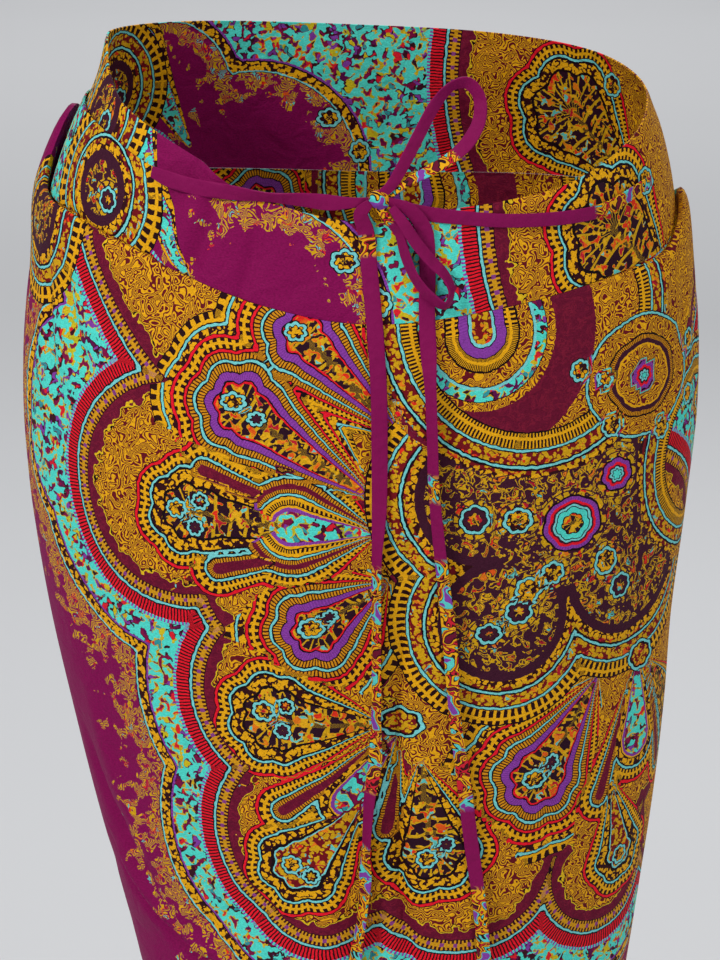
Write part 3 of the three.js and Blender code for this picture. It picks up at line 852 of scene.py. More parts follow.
DROP_BANDS = {
    "palmette": [(-26, "gems"), (-8.4, "dark"), (-6.8, "gold beads"), (-1.2, "dark")],
    "shield": [
        (-26, "gems"), (-11, "red"), (-10, "dark"), (-9.2, "violet"), (-5, "dark"), (-4.4, "orange ticks"),
        (-0.9, "dark")],
    "large drop": [
        (-26, "turquoise florals"), (-17, "violet"), (-15, "gold"), (-13.8, "dark"), (-13.2, "gold rungs"),
        (-9.4, "dark"), (-8.9, "cyan"), (-7.8, "dark"), (-7.3, "orange ticks"), (-5.4, "maroon"),
        (-3, "orange ticks"), (-0.7, "dark")],
    "small drop": [
        (-26, "turquoise florals"), (-7.6, "violet"), (-5.8, "gold"), (-5, "dark"), (-4.4, "gold beads"),
        (-0.8, "dark")],
    "finger": [(-12, "maroon"), (-3, "orange ticks"), (-0.8, "dark")],
    "ember": [(-26, "embers"), (-9, "cyan"), (-8, "dark"), (-6, "gold beads"), (-1, "dark")],
}
for name, bands in DROP_BANDS.items():
    bands += SHIELD_RINGS if name == "shield" else OUTER_RINGS
# The last two have no rings round them, and lie on any ground.
DROP_BANDS["wedge"] = [
    (-14, "turquoise florals"), (-2.2, "violet teeth"), (-0.4, "dark"), (0.2, "gold beads"), (4.8, "dark"),
    (5.3, "bare"),
]
DROP_BANDS["hook"] = [
    (-48, "embers"), (-42, "cyan"), (-40.6, "dark"), (-40, "violet"), (-35.4, "dark"),
    (-34.8, "gold rungs"), (-29, "dark"), (-28, "vermicelli"), (-21.4, "dark"), (-20.8, "cyan"),
    (-19.4, "turquoise florals"), (-14, "dark"), (-13.4, "vermicelli"), (-9, "maroon"), (14, "bare"),
]
GARDEN_BANDS = [
    (-8, "sprigs"), (-5, "plum"), (0, "gold beads"), (3, "embers"), (5, "dark"), (6, "cyan"), (7.2, "dark"),
    (8, "embers"), (14, "dark"), (14.6, "cyan"), (15.8, "dark"), (16.4, "gold rungs"), (24, "dark"),
    (24.8, "bare"),
]
BLOOM_BANDS = {
    "dark ring": [(-12, "gems"), (-4.2, "plum"), (-2, "dark"), (-1.4, "cyan"), (0, "dark"), (0.6, "bare")],
    "gold ring": [
        (-12, "gems"), (-4.2, "gold beads"), (-1.9, "dark"), (-1.4, "cyan"), (0, "dark"), (0.6, "bare")],
    "ember ring": [(-12, "embers"), (-2.6, "dark"), (-1.4, "cyan"), (0, "dark"), (0.6, "bare")],
    "rose": [
        (-20, "gems"), (-9.6, "dark"), (-9, "turquoise"), (-6.4, "dark"), (-5.9, "cyan"), (-4.9, "plum"),
        (-3.9, "red"), (-2.6, "violet"), (-0.6, "dark"), (0.4, "bare")],
    "medallion": [
        (-34, "gems"), (-22, "vermicelli"), (-15.6, "gold"), (-14.6, "plum"), (-12.4, "orange ticks"),
        (-10.4, "dark"), (-9.6, "vermicelli"), (-1, "dark"), (-0.5, "cyan"), (0.7, "dark"), (1.3, "bare")],
}

# %% Printing the panels and giving them their thickness
for name, (sheet, places) in laid.items():
    lay_print(sheet, places, *PRINT_ON[name])
for sheet in panels.values():
    thicken(sheet, THIN)
    print(sheet.name, "has", sum(len(p.vertices) - 2 for p in sheet.data.polygons), "triangles")

# %% [markdown]
# ## Ties
# The ties are narrow tubes of the same crepe, pressed flat, so each is swept
# along its route as a flat strip with rounded edges. A row of the route says
# where it passes, how far its nearer edge stands off the skirt, how wide it is
# and how far it is turned on edge.

# %% Routes of the ties
ROUTE = "angle depth stand width turn"
TIE_THICKNESS = 1.2

TIE_ROUTES = {
    "tie_left": table(ROUTE, [
        (-41, 38, 1, 6, 0), (-37, 40.5, 1.2, 8, 0), (-31, 43, 1.2, 8, 0), (-24, 44.3, 1, 8, 10),
        (-16.5, 45.4, 0.8, 6.5, 35), (-11, 46.4, 1, 7.5, 15), (-6.5, 47.6, 2.2, 7.5, 0),
        (-3.2, 47.2, 3.2, 5, 0), (-0.6, 46.4, 3.4, 4, 0),
    ]),
    "tie_right": table(ROUTE, [
        (0.9, 46.4, 3.4, 4, 0), (3.4, 49, 2.2, 5, 0), (7.5, 53, 0.8, 7, 0), (14, 55.6, 0.8, 6.8, 0),
        (22, 57.8, 1, 6.8, 0), (34.5, 58.4, 1.1, 6.8, 0), (42.5, 57, 1.2, 6.8, 0), (50, 52.8, 1.1, 6.8, 0),
        (60, 47.6, 1, 6, 0),
    ]),
    "bow_loop_upper": table(ROUTE, [
        (0, 43.5, 6.2, 4, 0), (1.6, 39, 5.6, 5.5, 10), (3.6, 29.5, 4, 6.5, 15), (6.4, 16, 2.6, 6.8, 15),
        (9.8, 1.5, 2, 6.8, 20), (13, -6.8, 2, 6.8, 35), (16, -8, 2.4, 6.8, 30), (18.2, -1.8, 2.4, 6.8, 45),
        (17.8, 10, 2.4, 6.8, 40), (15.2, 20, 2, 6.8, 30), (11.6, 27.6, 1.6, 6.5, 40),
        (7.4, 33.6, 1.8, 6.5, 55), (4.2, 38, 2.8, 5, 50), (1.6, 43.4, 3.6, 4, 20),
    ]),
    "bow_loop_lower": table(ROUTE, [
        (0, 48, 6.2, 4, 0), (1.2, 54, 4.8, 5, 30), (3, 61.5, 3, 6, 45), (4, 72.3, 2.2, 7, 50),
        (5.4, 82.6, 2.8, 7, 50), (7.8, 91.6, 3.2, 7, 45), (9.9, 95.4, 3.2, 7, 50),
        (10.8, 89.2, 3.2, 7, 55), (9.9, 82, 3.6, 7, 50), (7.8, 75, 4.4, 7, 40),
        (5.4, 66, 6, 6.5, 30), (3.6, 57, 7.8, 6, 20), (1.8, 48.4, 8.4, 4, 0),
    ]),
    "tail_left": table(ROUTE, [
        (-1, 46.5, 6.6, 4, 0), (-2.2, 52, 4.6, 7, 0), (-1.5, 62, 1.6, 8, 0), (-1.1, 78, 0.8, 8, 0),
        (-0.7, 93, 0.8, 8, 0), (-0.2, 115, 1, 8, 0), (0.1, 140, 1.2, 8, 0), (0.2, 170, 1.4, 8, 0),
        (0.2, 199, 1.4, 7.5, 10), (0, 227, 1.4, 7, 50), (0, 267, 1.4, 7, 52), (0, 311, 1.4, 7, 50),
        (-0.2, 338, 1.4, 7.5, 20), (-0.9, 358, 1.4, 7.5, 40), (-1.4, 388, 1.4, 7.5, 58),
        (-1.6, 404, 1.4, 8, 35), (-1.9, 421, 1.4, 8, 55), (-2.8, 441, 1.6, 8, 50),
        (-4, 462, 2, 8, 20), (-5, 484, 2, 8, 0),
    ]),
    "tail_right": table(ROUTE, [
        (1.2, 46, 6.2, 4, 0), (4.4, 50, 5.2, 6.5, 0), (6.8, 60, 2.6, 8, 0), (7.4, 75.5, 0.9, 8, 0),
        (7.2, 100, 0.7, 8, 0), (7.3, 116, 0.8, 8, 10), (7.6, 138, 0.9, 7, 45), (7.8, 161, 0.9, 7, 50),
        (8, 185, 0.9, 7, 50), (8.8, 212, 0.9, 7, 40), (10, 241, 0.9, 7, 35), (11.2, 269, 0.9, 7.5, 25),
        (12.5, 312, 0.9, 7, 45), (14.2, 346, 0.9, 7.5, 25), (16.2, 386, 0.9, 7.5, 20),
        (17.8, 413, 0.9, 7.5, 35), (19.4, 444, 0.9, 7.5, 40), (20.4, 466, 0.9, 8, 20),
        (20.9, 492, 0.9, 8, 0),
    ]),
}
print(sum(len(route) for route in TIE_ROUTES.values()), "points on", len(TIE_ROUTES), "routes")

# Where the print runs across a tie, from and to (mm along it).
TIE_PRINT = {
    "tie_left": [],
    "tie_right": [(108, 151)],
    "bow_loop_upper": [(112, 149)],
    "bow_loop_lower": [(0, 10)],
    "tail_left": [(18, 28), (186, 310), (343, 442)],
    "tail_right": [(146, 158), (188, 328), (378, 460)],
}

# %% [markdown]
# A sewn tube of cloth has two flat faces and two soft rolled edges. Its section
# is a flat oval of twelve points, and its middle line is a smooth curve through
# the route. The section follows the form's outward direction, turned by the
# route's last column, so the strip never twists by itself.

# %% A smooth line through the route
STEPS_PER_POINT = 8


def curve_through(points, steps):
    """A smooth (centripetal Catmull-Rom) curve through points, so many steps each."""
    points = np.asarray(points, float)
    padded = np.vstack([2 * points[0] - points[1], points, 2 * points[-1] - points[-2]])
    out = []
    for k in range(1, len(padded) - 2):
        p0, p1, p2, p3 = padded[k - 1:k + 3]
        d0, d1, d2 = (max(np.linalg.norm(b - a), 1e-4) ** 0.5 for a, b in ((p0, p1), (p1, p2), (p2, p3)))
        m1 = ((p1 - p0) / d0 - (p2 - p0) / (d0 + d1) + (p2 - p1) / d1) * d1
        m2 = ((p2 - p1) / d1 - (p3 - p1) / (d1 + d2) + (p3 - p2) / d2) * d1
        for t in np.arange(steps) / steps:
            a, b = 2 * t ** 3 - 3 * t * t + 1, t ** 3 - 2 * t * t + t
            out.append(a * p1 + b * m1 + (1 - a) * p2 + (t ** 3 - t * t) * m2)
    return np.array(out + [points[-1]])


def tie_line(route):
    """The middle line of a tie (mm), and the angle, width and turn along it."""
    rows = np.array([[row[c] for c in ROUTE.split()] for row in route], float)
    angle, depth, stand, width, turned = rows.T
    lift = abs(np.sin(np.radians(turned))) * width / 2
    places = form_point(angle, depth, OUTER_FACE + stand + lift)
    return curve_through(places, STEPS_PER_POINT), curve_through(rows[:, [0, 3, 4]], STEPS_PER_POINT)


def tie_directions(line, angle, turned):
    """Unit vectors across a tie and away from the skirt, at each point of its line."""
    tangent = np.gradient(line, axis=0)
    tangent /= np.linalg.norm(tangent, axis=1, keepdims=True)
    away = np.stack([np.sin(angle), -np.cos(angle), 0 * angle], -1)
    away -= tangent * (away * tangent).sum(1, keepdims=True)
    away /= np.linalg.norm(away, axis=1, keepdims=True)
    away = away * np.cos(turned)[:, None] + np.cross(tangent, away) * np.sin(turned)[:, None]
    return np.cross(away, tangent), away

# %% The section of a tie
SECTION_POINTS = 12
EDGE_ROUND = (0.6, 0.4)  # exponents across the strip and through it, 1 would be an ellipse
RIPPLE = 0.22  # how much the thickness goes up and down along a tie
RIPPLE_LENGTHS = (5.3, 2.1)  # mm for one radian of its two waves


def cross_section(width):
    """A flat oval: across the strip and through its thickness (mm)."""
    round_to = np.arange(SECTION_POINTS) / SECTION_POINTS * tau
    squared = np.sign(np.cos(round_to)) * abs(np.cos(round_to)) ** EDGE_ROUND[0]
    thick = np.sign(np.sin(round_to)) * abs(np.sin(round_to)) ** EDGE_ROUND[1]
    return squared * width / 2, thick * TIE_THICKNESS / 2


def strip_faces(rings):
    """Quads along a strip of so many rings, and one face across each of its ends."""
    faces = []
    for k in range(rings - 1):
        for c in range(SECTION_POINTS):
            d = (c + 1) % SECTION_POINTS
            a, b = k * SECTION_POINTS, (k + 1) * SECTION_POINTS
            faces.append((a + c, b + c, b + d, a + d))
    faces.append(tuple(range(SECTION_POINTS)))
    faces.append(tuple((rings - 1) * SECTION_POINTS + c for c in reversed(range(SECTION_POINTS))))
    return faces

# %% Sweeping a tie
TIE_CORNER = 45  # degrees, edges sharper than this stay sharp


def tie_mesh(name, points, uvs, printed):
    """A strip from its rings of points, with its cut cloth as UV map and where it is printed."""
    mesh = bpy.data.meshes.new(name + "_cloth")
    mesh.from_pydata((points.reshape(-1, 3) * MM).tolist(), [], strip_faces(len(points)))
    layer = mesh.uv_layers.new(name="cut cloth")
    corners = np.empty(len(mesh.loops), int)
    mesh.loops.foreach_get("vertex_index", corners)
    layer.data.foreach_set("uv", (uvs.reshape(-1, 2)[corners] * MM).ravel())
    kept = mesh.attributes.new("printed", "FLOAT", "POINT")
    kept.data.foreach_set("value", np.repeat(printed, SECTION_POINTS))
    return mesh


def sweep_tie(name, route):
    """The strip, its middle line and its length (mm)."""
    line, shape = tie_line(route)
    across, away = tie_directions(line, np.radians(shape[:, 0]), np.radians(shape[:, 2]))
    run = np.r_[0, np.cumsum(np.linalg.norm(np.diff(line, axis=0), axis=1))]
    centre = line + away * TIE_THICKNESS / 2
    points, uvs = [], []
    for k in range(len(line)):
        wide, thick = cross_section(shape[k, 1])
        waves = sin(run[k] / RIPPLE_LENGTHS[0] + len(name)) * sin(run[k] / RIPPLE_LENGTHS[1])
        ring = centre[k] + across[k] * wide[:, None] + away[k] * (thick * (1 + RIPPLE * waves))[:, None]
        points.append(ring)
        uvs.append(np.stack([wide, np.full(SECTION_POINTS, run[k])], -1))
    printed = np.zeros(len(run))
    for start, end in TIE_PRINT[name]:
        printed = np.maximum(printed, (run > start) & (run < end))
    mesh = tie_mesh(name, np.array(points), np.array(uvs), printed)
    tie = bpy.data.objects.new(name + "_cloth", mesh)
    bpy.context.scene.collection.objects.link(tie)
    start_clean()
    tie.select_set(True)
    bpy.context.view_layer.objects.active = tie
    bpy.ops.object.mode_set(mode="EDIT")
    bpy.ops.mesh.select_all(action="SELECT")
    bpy.ops.mesh.normals_make_consistent(inside=False)
    bpy.ops.object.mode_set(mode="OBJECT")
    bpy.ops.object.shade_smooth_by_angle(angle=radians(TIE_CORNER))
    return tie, centre, run[-1]


ties = {name: sweep_tie(name, route) for name, route in TIE_ROUTES.items()}
for name, (tie, line, length) in ties.items():
    print(name, "is", round(length), "mm long")

# %% [markdown]
# ## The knot
# The knot is a small tight ball of the same strip. Its core is a sphere pressed
# flat, and one turn of the strip wraps slantwise over it.

# %% The knot
KNOT = {"angle": 0.1, "depth": 45.5, "stand": 5.6, "across": 11, "deep": 9.6, "high": 9.6}
CORE = 0.9  # the core's size, as a share of the knot's
WRAP, WRAP_EDGE, WRAP_HEIGHT = 0.52, 26, 0.12  # the turn's half width, how steeply it ends, its height
SLANT = (0.85, 0.5)  # the way across the turn, to the side and up
GATHERS, GATHER_HEIGHT = 9, 0.03  # fine gathers along the turn
knot_centre = form_point(KNOT["angle"], KNOT["depth"], OUTER_FACE + KNOT["stand"])

start_clean()
bpy.ops.mesh.primitive_uv_sphere_add(segments=48, ring_count=32, radius=1, location=(0, 0, 0))
knot = bpy.context.object
knot.name = knot.data.name = "bow_knot_cloth"
half = np.array([KNOT["across"], KNOT["deep"], KNOT["high"]]) / 2
for vertex in knot.data.vertices:
    x, y, z = vertex.co
    wrap = 1 / (1 + np.exp((abs(SLANT[0] * x + SLANT[1] * z) - WRAP) * WRAP_EDGE))
    gather = GATHER_HEIGHT * sin(GATHERS * (SLANT[1] * x - SLANT[0] * z)) * wrap
    swell = CORE + WRAP_HEIGHT * wrap + gather
    vertex.co = Vector((np.array([x, y, z]) * half * swell + knot_centre) * MM)
bpy.ops.object.shade_smooth()
knot_uv = knot.data.uv_layers[0]
knot_uv.name = "cut cloth"
for loop in knot.data.loops:
    place = knot.data.vertices[loop.vertex_index].co
    knot_uv.data[loop.index].uv = (place.x + place.y, place.z)
kept = knot.data.attributes.new("printed", "FLOAT", "POINT")
kept.data.foreach_set("value", np.ones(len(knot.data.vertices)))
sides = np.ptp([tuple(vertex.co) for vertex in knot.data.vertices], axis=0) / MM
print("the knot is", sides.round(1), "mm")

# %% [markdown]
# ## Materials
# One small function adds a node with its settings and links, and every material
# is built with it.

# %% Adding a node
def node(tree, kind, settings=None, values=None, links=None):
    """Adds a node: its settings by name, its sockets' values and what feeds them."""
    made = tree.nodes.new(kind)
    for key, value in (settings or {}).items():
        setattr(made, key, value)
    for key, value in (values or {}).items():
        made.inputs[key].default_value = value
    for key, source in (links or {}).items():
        tree.links.new(source, made.inputs[key])
    return made


def new_material(name):
    """An empty material and its tree of nodes."""
    material = bpy.data.materials.new(name)
    material.use_nodes = True
    material.node_tree.nodes.clear()
    return material, material.node_tree

# %% [markdown]
# The floor is board under matt emulsion paint, rolled on: it has hardly any
# gloss, and its tone goes up and down a little with the roller.

# %% Floor paint
floor_paint, tree = new_material("matt emulsion rolled on board")
grain = node(tree, "ShaderNodeTexNoise", values={"Scale": 40.0, "Detail": 3.0})
pale = node(tree, "ShaderNodeMix", {"data_type": "RGBA"},
            {"A": linear("#d3d4d6"), "B": linear("#d6d7d9")}, {"Factor": grain.outputs["Fac"]})
paint = node(tree, "ShaderNodeBsdfPrincipled", values={"Roughness": 0.9, "Specular IOR Level": 0.1},
             links={"Base Color": pale.outputs["Result"]})
node(tree, "ShaderNodeOutputMaterial", links={"Surface": paint.outputs["BSDF"]})
floor.data.materials.append(floor_paint)

# %% [markdown]
# ## Inks
# Every kind of printed ground has a number, a ground colour, a figure colour and
# the pattern that the figure makes. "Lively" figures change colour from blob to
# blob. The colours are an acid dye's on crepe: bright, with a soft edge where
# they meet.

# %% Inks and patterns
MAGENTA, GOLD, TURQUOISE, RED = "#7d0c4c", "#e0a214", "#4fd3c4", "#e0182a"
DARK, VIOLET, MAROON, PLUM = "#190a10", "#8a3fa0", "#64112c", "#3d1729"
PATTERNS = [
    "rungs", "ticks", "ladder", "beads", "vermicelli", "blobs", "sprigs", "leaves", "teeth", "veins", "studs",
]
INKS = table("name ground figure pattern lively", [
    ("bare", MAGENTA, MAGENTA, "", 0),
    ("magenta", MAGENTA, MAGENTA, "", 0),
    ("dark", DARK, DARK, "", 0),
    ("cyan", "#74c9c9", "#74c9c9", "", 0),
    ("red", RED, RED, "", 0),
    ("yellow", "#d9b21c", "#d9b21c", "", 0),
    ("violet", VIOLET, "#7a3590", "ticks", 0),
    ("maroon", MAROON, "#741730", "sprigs", 0),
    ("gold rungs", "#260d12", GOLD, "rungs", 0),
    ("studded rungs", "#3a0f1a", "#cc9018", "rungs", 0),
    ("studs", "#c99018", "#843a80", "studs", 0),
    ("red ladder", "#2a0c12", RED, "ladder", 0),
    ("turquoise florals", TURQUOISE, TURQUOISE, "blobs", 1),
    ("violet teeth", TURQUOISE, VIOLET, "teeth", 0),
    ("vermicelli", "#64141e", GOLD, "vermicelli", 0),
    ("embers", "#70121a", "#d8701a", "beads", 1),
    ("gold beads", "#300e14", GOLD, "beads", 0),
    ("plum", PLUM, PLUM, "", 0),
    ("sprigs", PLUM, GOLD, "sprigs", 1),
    ("foliage", MAGENTA, "#d09a18", "leaves", 1),
    ("orange ticks", "#3a1010", "#cf8a16", "ticks", 0),
    ("turquoise", TURQUOISE, TURQUOISE, "", 0),
    ("gems", "#2a1020", GOLD, "veins", 1),
    ("gold", GOLD, GOLD, "", 0),
])
INK_NAMES = [ink["name"] for ink in INKS]
INK_STEPS = 32
OUTLINE_COLOURS = ["#b8b022", "#37131f", "#c8a41e", "#5a1148"]
BLOB_COLOURS = ["#7c1040", "#c8b41e", "#5a1148", "#7c1040", "#d31f2d", "#7d3a98", "#37131f", "#2f8f96"]
EMBER_COLOURS = ["#e0a51a", "#d8301c", "#e07a1a", "#d8701a", "#b01c2c", "#dca41c", "#5fc0b8", "#d8551a"]
LEAF_GOLD = "#c99a14"
print(len(INKS), "inks and", len(PATTERNS), "patterns")

# %% [markdown]
# A colour ramp with hard steps is a card of inks: a number goes in, and the ink
# of that number comes out. A band is found in the same way, from the distance.
# Each card is a small group of nodes, so that it can be used again.

# %% Cards of inks and bands
def ink_value(name):
    """An ink's number, as the share of the card at its middle."""
    return (INK_NAMES.index(name) + 0.5) / INK_STEPS


def stepped(ramp, stops):
    """Fills a colour ramp with hard steps: where each starts and its colour."""
    ramp.color_ramp.interpolation = "CONSTANT"
    steps = ramp.color_ramp.elements
    steps.remove(steps[1])
    steps[0].position, steps[0].color = 0, stops[0][1]
    for start, colour in stops[1:]:
        steps.new(start).color = colour


def new_group(name, inputs):
    """A small tree of nodes of its own, used as one node. Returns it and its inputs."""
    group = bpy.data.node_groups.new(name, "ShaderNodeTree")
    for socket, kind in inputs.items():
        group.interface.new_socket(socket, in_out="INPUT", socket_type=kind)
    return group, node(group, "NodeGroupInput").outputs


def close_group(group, outputs):
    """Gives the group its outputs."""
    for socket, source in outputs.items():
        kind = "NodeSocketVector" if source.type == "VECTOR" else "NodeSocketColor"
        kind = "NodeSocketFloat" if source.type == "VALUE" else kind
        group.interface.new_socket(socket, in_out="OUTPUT", socket_type=kind)
    node(group, "NodeGroupOutput", links=outputs)


def paint_bands(tree, away, name, bands):
    """Which ink lies at each distance from an outline, as that ink's number."""
    group, inputs = new_group("bands of the " + name, {"Away": "NodeSocketFloat"})
    first, last = bands[0][0], bands[-1][0] + 1
    share = node(group, "ShaderNodeMapRange", values={"From Min": first, "From Max": last}, links={
        "Value": inputs["Away"]})
    ramp = node(group, "ShaderNodeValToRGB", links={"Fac": share.outputs["Result"]})
    inks = [0 if ink == "bare" else ink_value(ink) for start, ink in bands]
    places = [(start - first) / (last - first) for start, ink in bands]
    stepped(ramp, [(place, (ink, ink, ink, 1)) for place, ink in zip(places, inks)])
    close_group(group, {"Ink": ramp.outputs["Color"]})
    return node(tree, "ShaderNodeGroup", {"node_tree": group}, links={"Away": away}).outputs["Ink"]


def by_style(tree, away, style, all_bands):
    """The bands of the nearest motif, whichever kind that is."""
    ink = None
    for number, (name, bands) in enumerate(all_bands.items()):
        painted = paint_bands(tree, away, name, bands)
        chosen = node(tree, "ShaderNodeMath", {"operation": "COMPARE"}, {1: number, 2: 0.5}, {0: style})
        part = node(tree, "ShaderNodeMath", {"operation": "MULTIPLY"}, links={
            0: painted, 1: chosen.outputs[0]})
        if ink is not None:
            part = node(tree, "ShaderNodeMath", {"operation": "ADD"}, links={0: ink, 1: part.outputs[0]})
        ink = part.outputs[0]
    return ink

# %% [markdown]
# The distances are read from the cloth, and each wanders a little, as a hand-cut
# line does. Round a bloom the turn about its middle swells the petals.

# %% Reading the distances
CLOTH_SCALE = 1000  # the UV map is in metres, the patterns are in millimetres
PETALS = 7  # petals of a bloom, and how far each swells (mm)
PETAL_SWELL = 0.9


def read_fields(tree, wander):
    """Distance, way along and a third value, for each outline that the cloth keeps."""
    fields = []
    for name in ("border", "lobes", "teardrops", "garden"):
        read = node(tree, "ShaderNodeAttribute", {"attribute_name": name})
        parts = node(tree, "ShaderNodeSeparateXYZ", links={0: read.outputs["Vector"]})
        away = node(tree, "ShaderNodeMath", {"operation": "ADD"}, links={0: parts.outputs["X"], 1: wander})
        fields.append((away.outputs[0], parts.outputs["Y"], parts.outputs["Z"]))
    return fields


def read_blooms(tree, wander):
    """The same for the blooms, then the turn round the nearest one and how near it is."""
    read = node(tree, "ShaderNodeAttribute", {"attribute_name": "blooms"}).outputs["Vector"]
    sizes = node(tree, "ShaderNodeAttribute", {"attribute_name": "bloom size"})
    sizes = node(tree, "ShaderNodeSeparateXYZ", links={0: sizes.outputs["Vector"]}).outputs
    parts = node(tree, "ShaderNodeSeparateXYZ", links={0: read}).outputs
    flat = node(tree, "ShaderNodeVectorMath", {"operation": "MULTIPLY"}, {1: (1, 1, 0)}, {0: read})
    reach = node(tree, "ShaderNodeVectorMath", {"operation": "LENGTH"}, links={0: flat.outputs[0]})
    turn = node(tree, "ShaderNodeMath", {"operation": "ARCTAN2"}, links={0: parts["X"], 1: parts["Y"]})
    turn = turn.outputs[0]
    petals = node(tree, "ShaderNodeMath", {"operation": "MULTIPLY"}, {1: PETALS / 2}, {0: turn})
    for step in ("SINE", "ABSOLUTE"):
        petals = node(tree, "ShaderNodeMath", {"operation": step}, links={0: petals.outputs[0]})
    petals = node(tree, "ShaderNodeMath", {"operation": "MULTIPLY_ADD"}, {1: -PETAL_SWELL}, {
        0: petals.outputs[0], 2: wander})
    away = node(tree, "ShaderNodeMath", {"operation": "SUBTRACT"}, links={
        0: reach.outputs["Value"], 1: sizes["X"]})
    away = node(tree, "ShaderNodeMath", {"operation": "ADD"}, links={
        0: away.outputs[0], 1: petals.outputs[0]})
    along = node(tree, "ShaderNodeMath", {"operation": "MULTIPLY"}, links={0: turn, 1: sizes["X"]})
    return (away.outputs[0], along.outputs[0], parts["Z"]), turn, sizes["Y"]

# %% [markdown]
# The screens are laid one over the other, as they are on the printing table:
# first the frame, then its lace, the teardrops, the dark garden and the blooms.
# A later screen covers the earlier ones where it has ink.

# %% Screens
FRILL = 15  # how deep the lace edge swings (mm)
FRILL_LENGTH = 7.5
LACE_INSIDE = -8.4  # the lace and the teardrops start here, inside the lobes' outline (mm)
BLOOM_REACH = 2.2  # nothing of a bloom lies farther out than this
RIM_TRIM = 0.5  # how much of the rings is left out at a hollow's rim (mm)


def lace_edge(tree, cloth, lobes):
    """Distance from the lobes' outline, swinging in and out as the edge of lace does."""
    swing = node(tree, "ShaderNodeTexNoise", values={"Scale": 1 / FRILL_LENGTH, "Detail": 1.6}, links={
        "Vector": cloth})
    swing = node(tree, "ShaderNodeMath", {"operation": "SUBTRACT"}, {1: 0.5}, {0: swing.outputs["Fac"]})
    return node(tree, "ShaderNodeMath", {"operation": "MULTIPLY_ADD"}, {1: FRILL}, {
        0: swing.outputs[0], 2: lobes}).outputs[0]


def lay_screens(tree, cloth, wander):
    """Ink number, way along and distance at each point, after all screens."""
    border, lobes, drops, garden = read_fields(tree, wander)
    blooms, turn, near = read_blooms(tree, wander)
    beside = node(tree, "ShaderNodeMath", {"operation": "LESS_THAN"}, {1: BLOOM_REACH}, {0: near})
    lace = lace_edge(tree, cloth, lobes[0])
    inside = node(tree, "ShaderNodeMath", {"operation": "LESS_THAN"}, {1: LACE_INSIDE}, {0: lobes[0]})
    inside = inside.outputs[0]
    free = node(tree, "ShaderNodeMath", {"operation": "GREATER_THAN"}, {
        1: list(DROP_BANDS).index("wedge") - 0.5}, {0: drops[2]})
    free = node(tree, "ShaderNodeMath", {"operation": "MAXIMUM"}, links={0: inside, 1: free.outputs[0]})
    rings = node(tree, "ShaderNodeMath", {"operation": "LESS_THAN"}, {1: -RIM_TRIM}, {0: garden[2]})
    screens = [
        # its ink, its outline, where it is kept (None: everywhere)
        (paint_bands(tree, border[0], "border", BORDER_BANDS), border, None),
        (paint_bands(tree, lobes[0], "lobes", LOBE_BANDS), lobes, None),
        (paint_bands(tree, lace, "lace", LACE_BANDS), drops, inside),
        (by_style(tree, drops[0], drops[2], DROP_BANDS), drops, free.outputs[0]),
        (paint_bands(tree, garden[0], "garden", GARDEN_BANDS), garden, rings.outputs[0]),
        (by_style(tree, blooms[0], blooms[2], BLOOM_BANDS), blooms, beside.outputs[0]),
    ]
    laid_ink = None
    for ink, (away, along, style), kept in screens:
        painted = node(tree, "ShaderNodeCombineXYZ", links={"X": ink, "Y": along, "Z": away})
        if laid_ink is None:
            laid_ink = painted.outputs[0]
            continue
        covers = node(tree, "ShaderNodeMath", {"operation": "GREATER_THAN"}, {1: 0.25 / INK_STEPS}, {0: ink})
        if kept is not None:
            covers = node(tree, "ShaderNodeMath", {"operation": "MULTIPLY"}, links={
                0: covers.outputs[0], 1: kept})
        over = node(tree, "ShaderNodeMix", {"data_type": "VECTOR"}, links={
            0: covers.outputs[0], 4: laid_ink, 5: painted.outputs[0]})
        laid_ink = over.outputs[1]
    return node(tree, "ShaderNodeSeparateXYZ", links={0: laid_ink}).outputs, turn, near

# %% [markdown]
# The figures are what a block cutter repeats along a band: rungs with a spine,
# fine ticks, beads, and the worm-like vermicelli that fills every gold ground.
# Stripes give all that crosses a band. Clouds of noise, cut off at a height,
# give what has no order: blobs are small flowers, sprigs and veins are leaves,
# and round a bloom the leaves stand in pairs.

# %% Stripes and clouds
SWAY = 0.9  # how far stripes lean with the wobble of the cutter's hand (mm)
BEND, BEND_LENGTH = 3, 2.6  # how far places are bent, and over what length (mm)
STRIPES = {
    # figure: half a period, and where in it the figure starts (mm along the band)
    "rungs": (1.2, 0.66), "ticks": (0.75, 0.3), "ladder": (0.85, 0.36), "veins": (4.2, 3.3),
    "teeth": (0.9, 0.42), "studs": (4, 2.9),
}
CLOUDS = {
    # name: mm from cloud to cloud, detail, distortion
    "worms": (5.4, 0.0, 0.6), "flowers": (4.2, 1.0, 0.5), "leaves": (4.4, 0.9, 0.9),
    "foliage": (9.0, 2.5, 0.3),
}
CUT_AT = {
    # mask: the cloud it is cut from, and at which height
    "blobs": ("flowers", 0.5), "flower hearts": ("flowers", 0.565), "sprigs": ("leaves", 0.47),
    "veins": ("leaves", 0.53), "leaf hearts": ("leaves", 0.58),
}


def stripes(tree, source, half, edge):
    """Even stripes: half a period wide, figure above the edge."""
    wave = node(tree, "ShaderNodeMath", {"operation": "PINGPONG"}, {1: half}, {0: source})
    return node(tree, "ShaderNodeMath", {"operation": "GREATER_THAN"}, {1: edge}, {
        0: wave.outputs[0]}).outputs[0]


def draw_clouds(tree, cloth):
    """Every cloud's height at each place on the cloth."""
    clouds = {}
    for name, (spacing, detail, distortion) in CLOUDS.items():
        values = {"Scale": 1 / spacing, "Detail": detail, "Distortion": distortion}
        clouds[name] = node(tree, "ShaderNodeTexNoise", None, values, {"Vector": cloth}).outputs["Fac"]
    return clouds


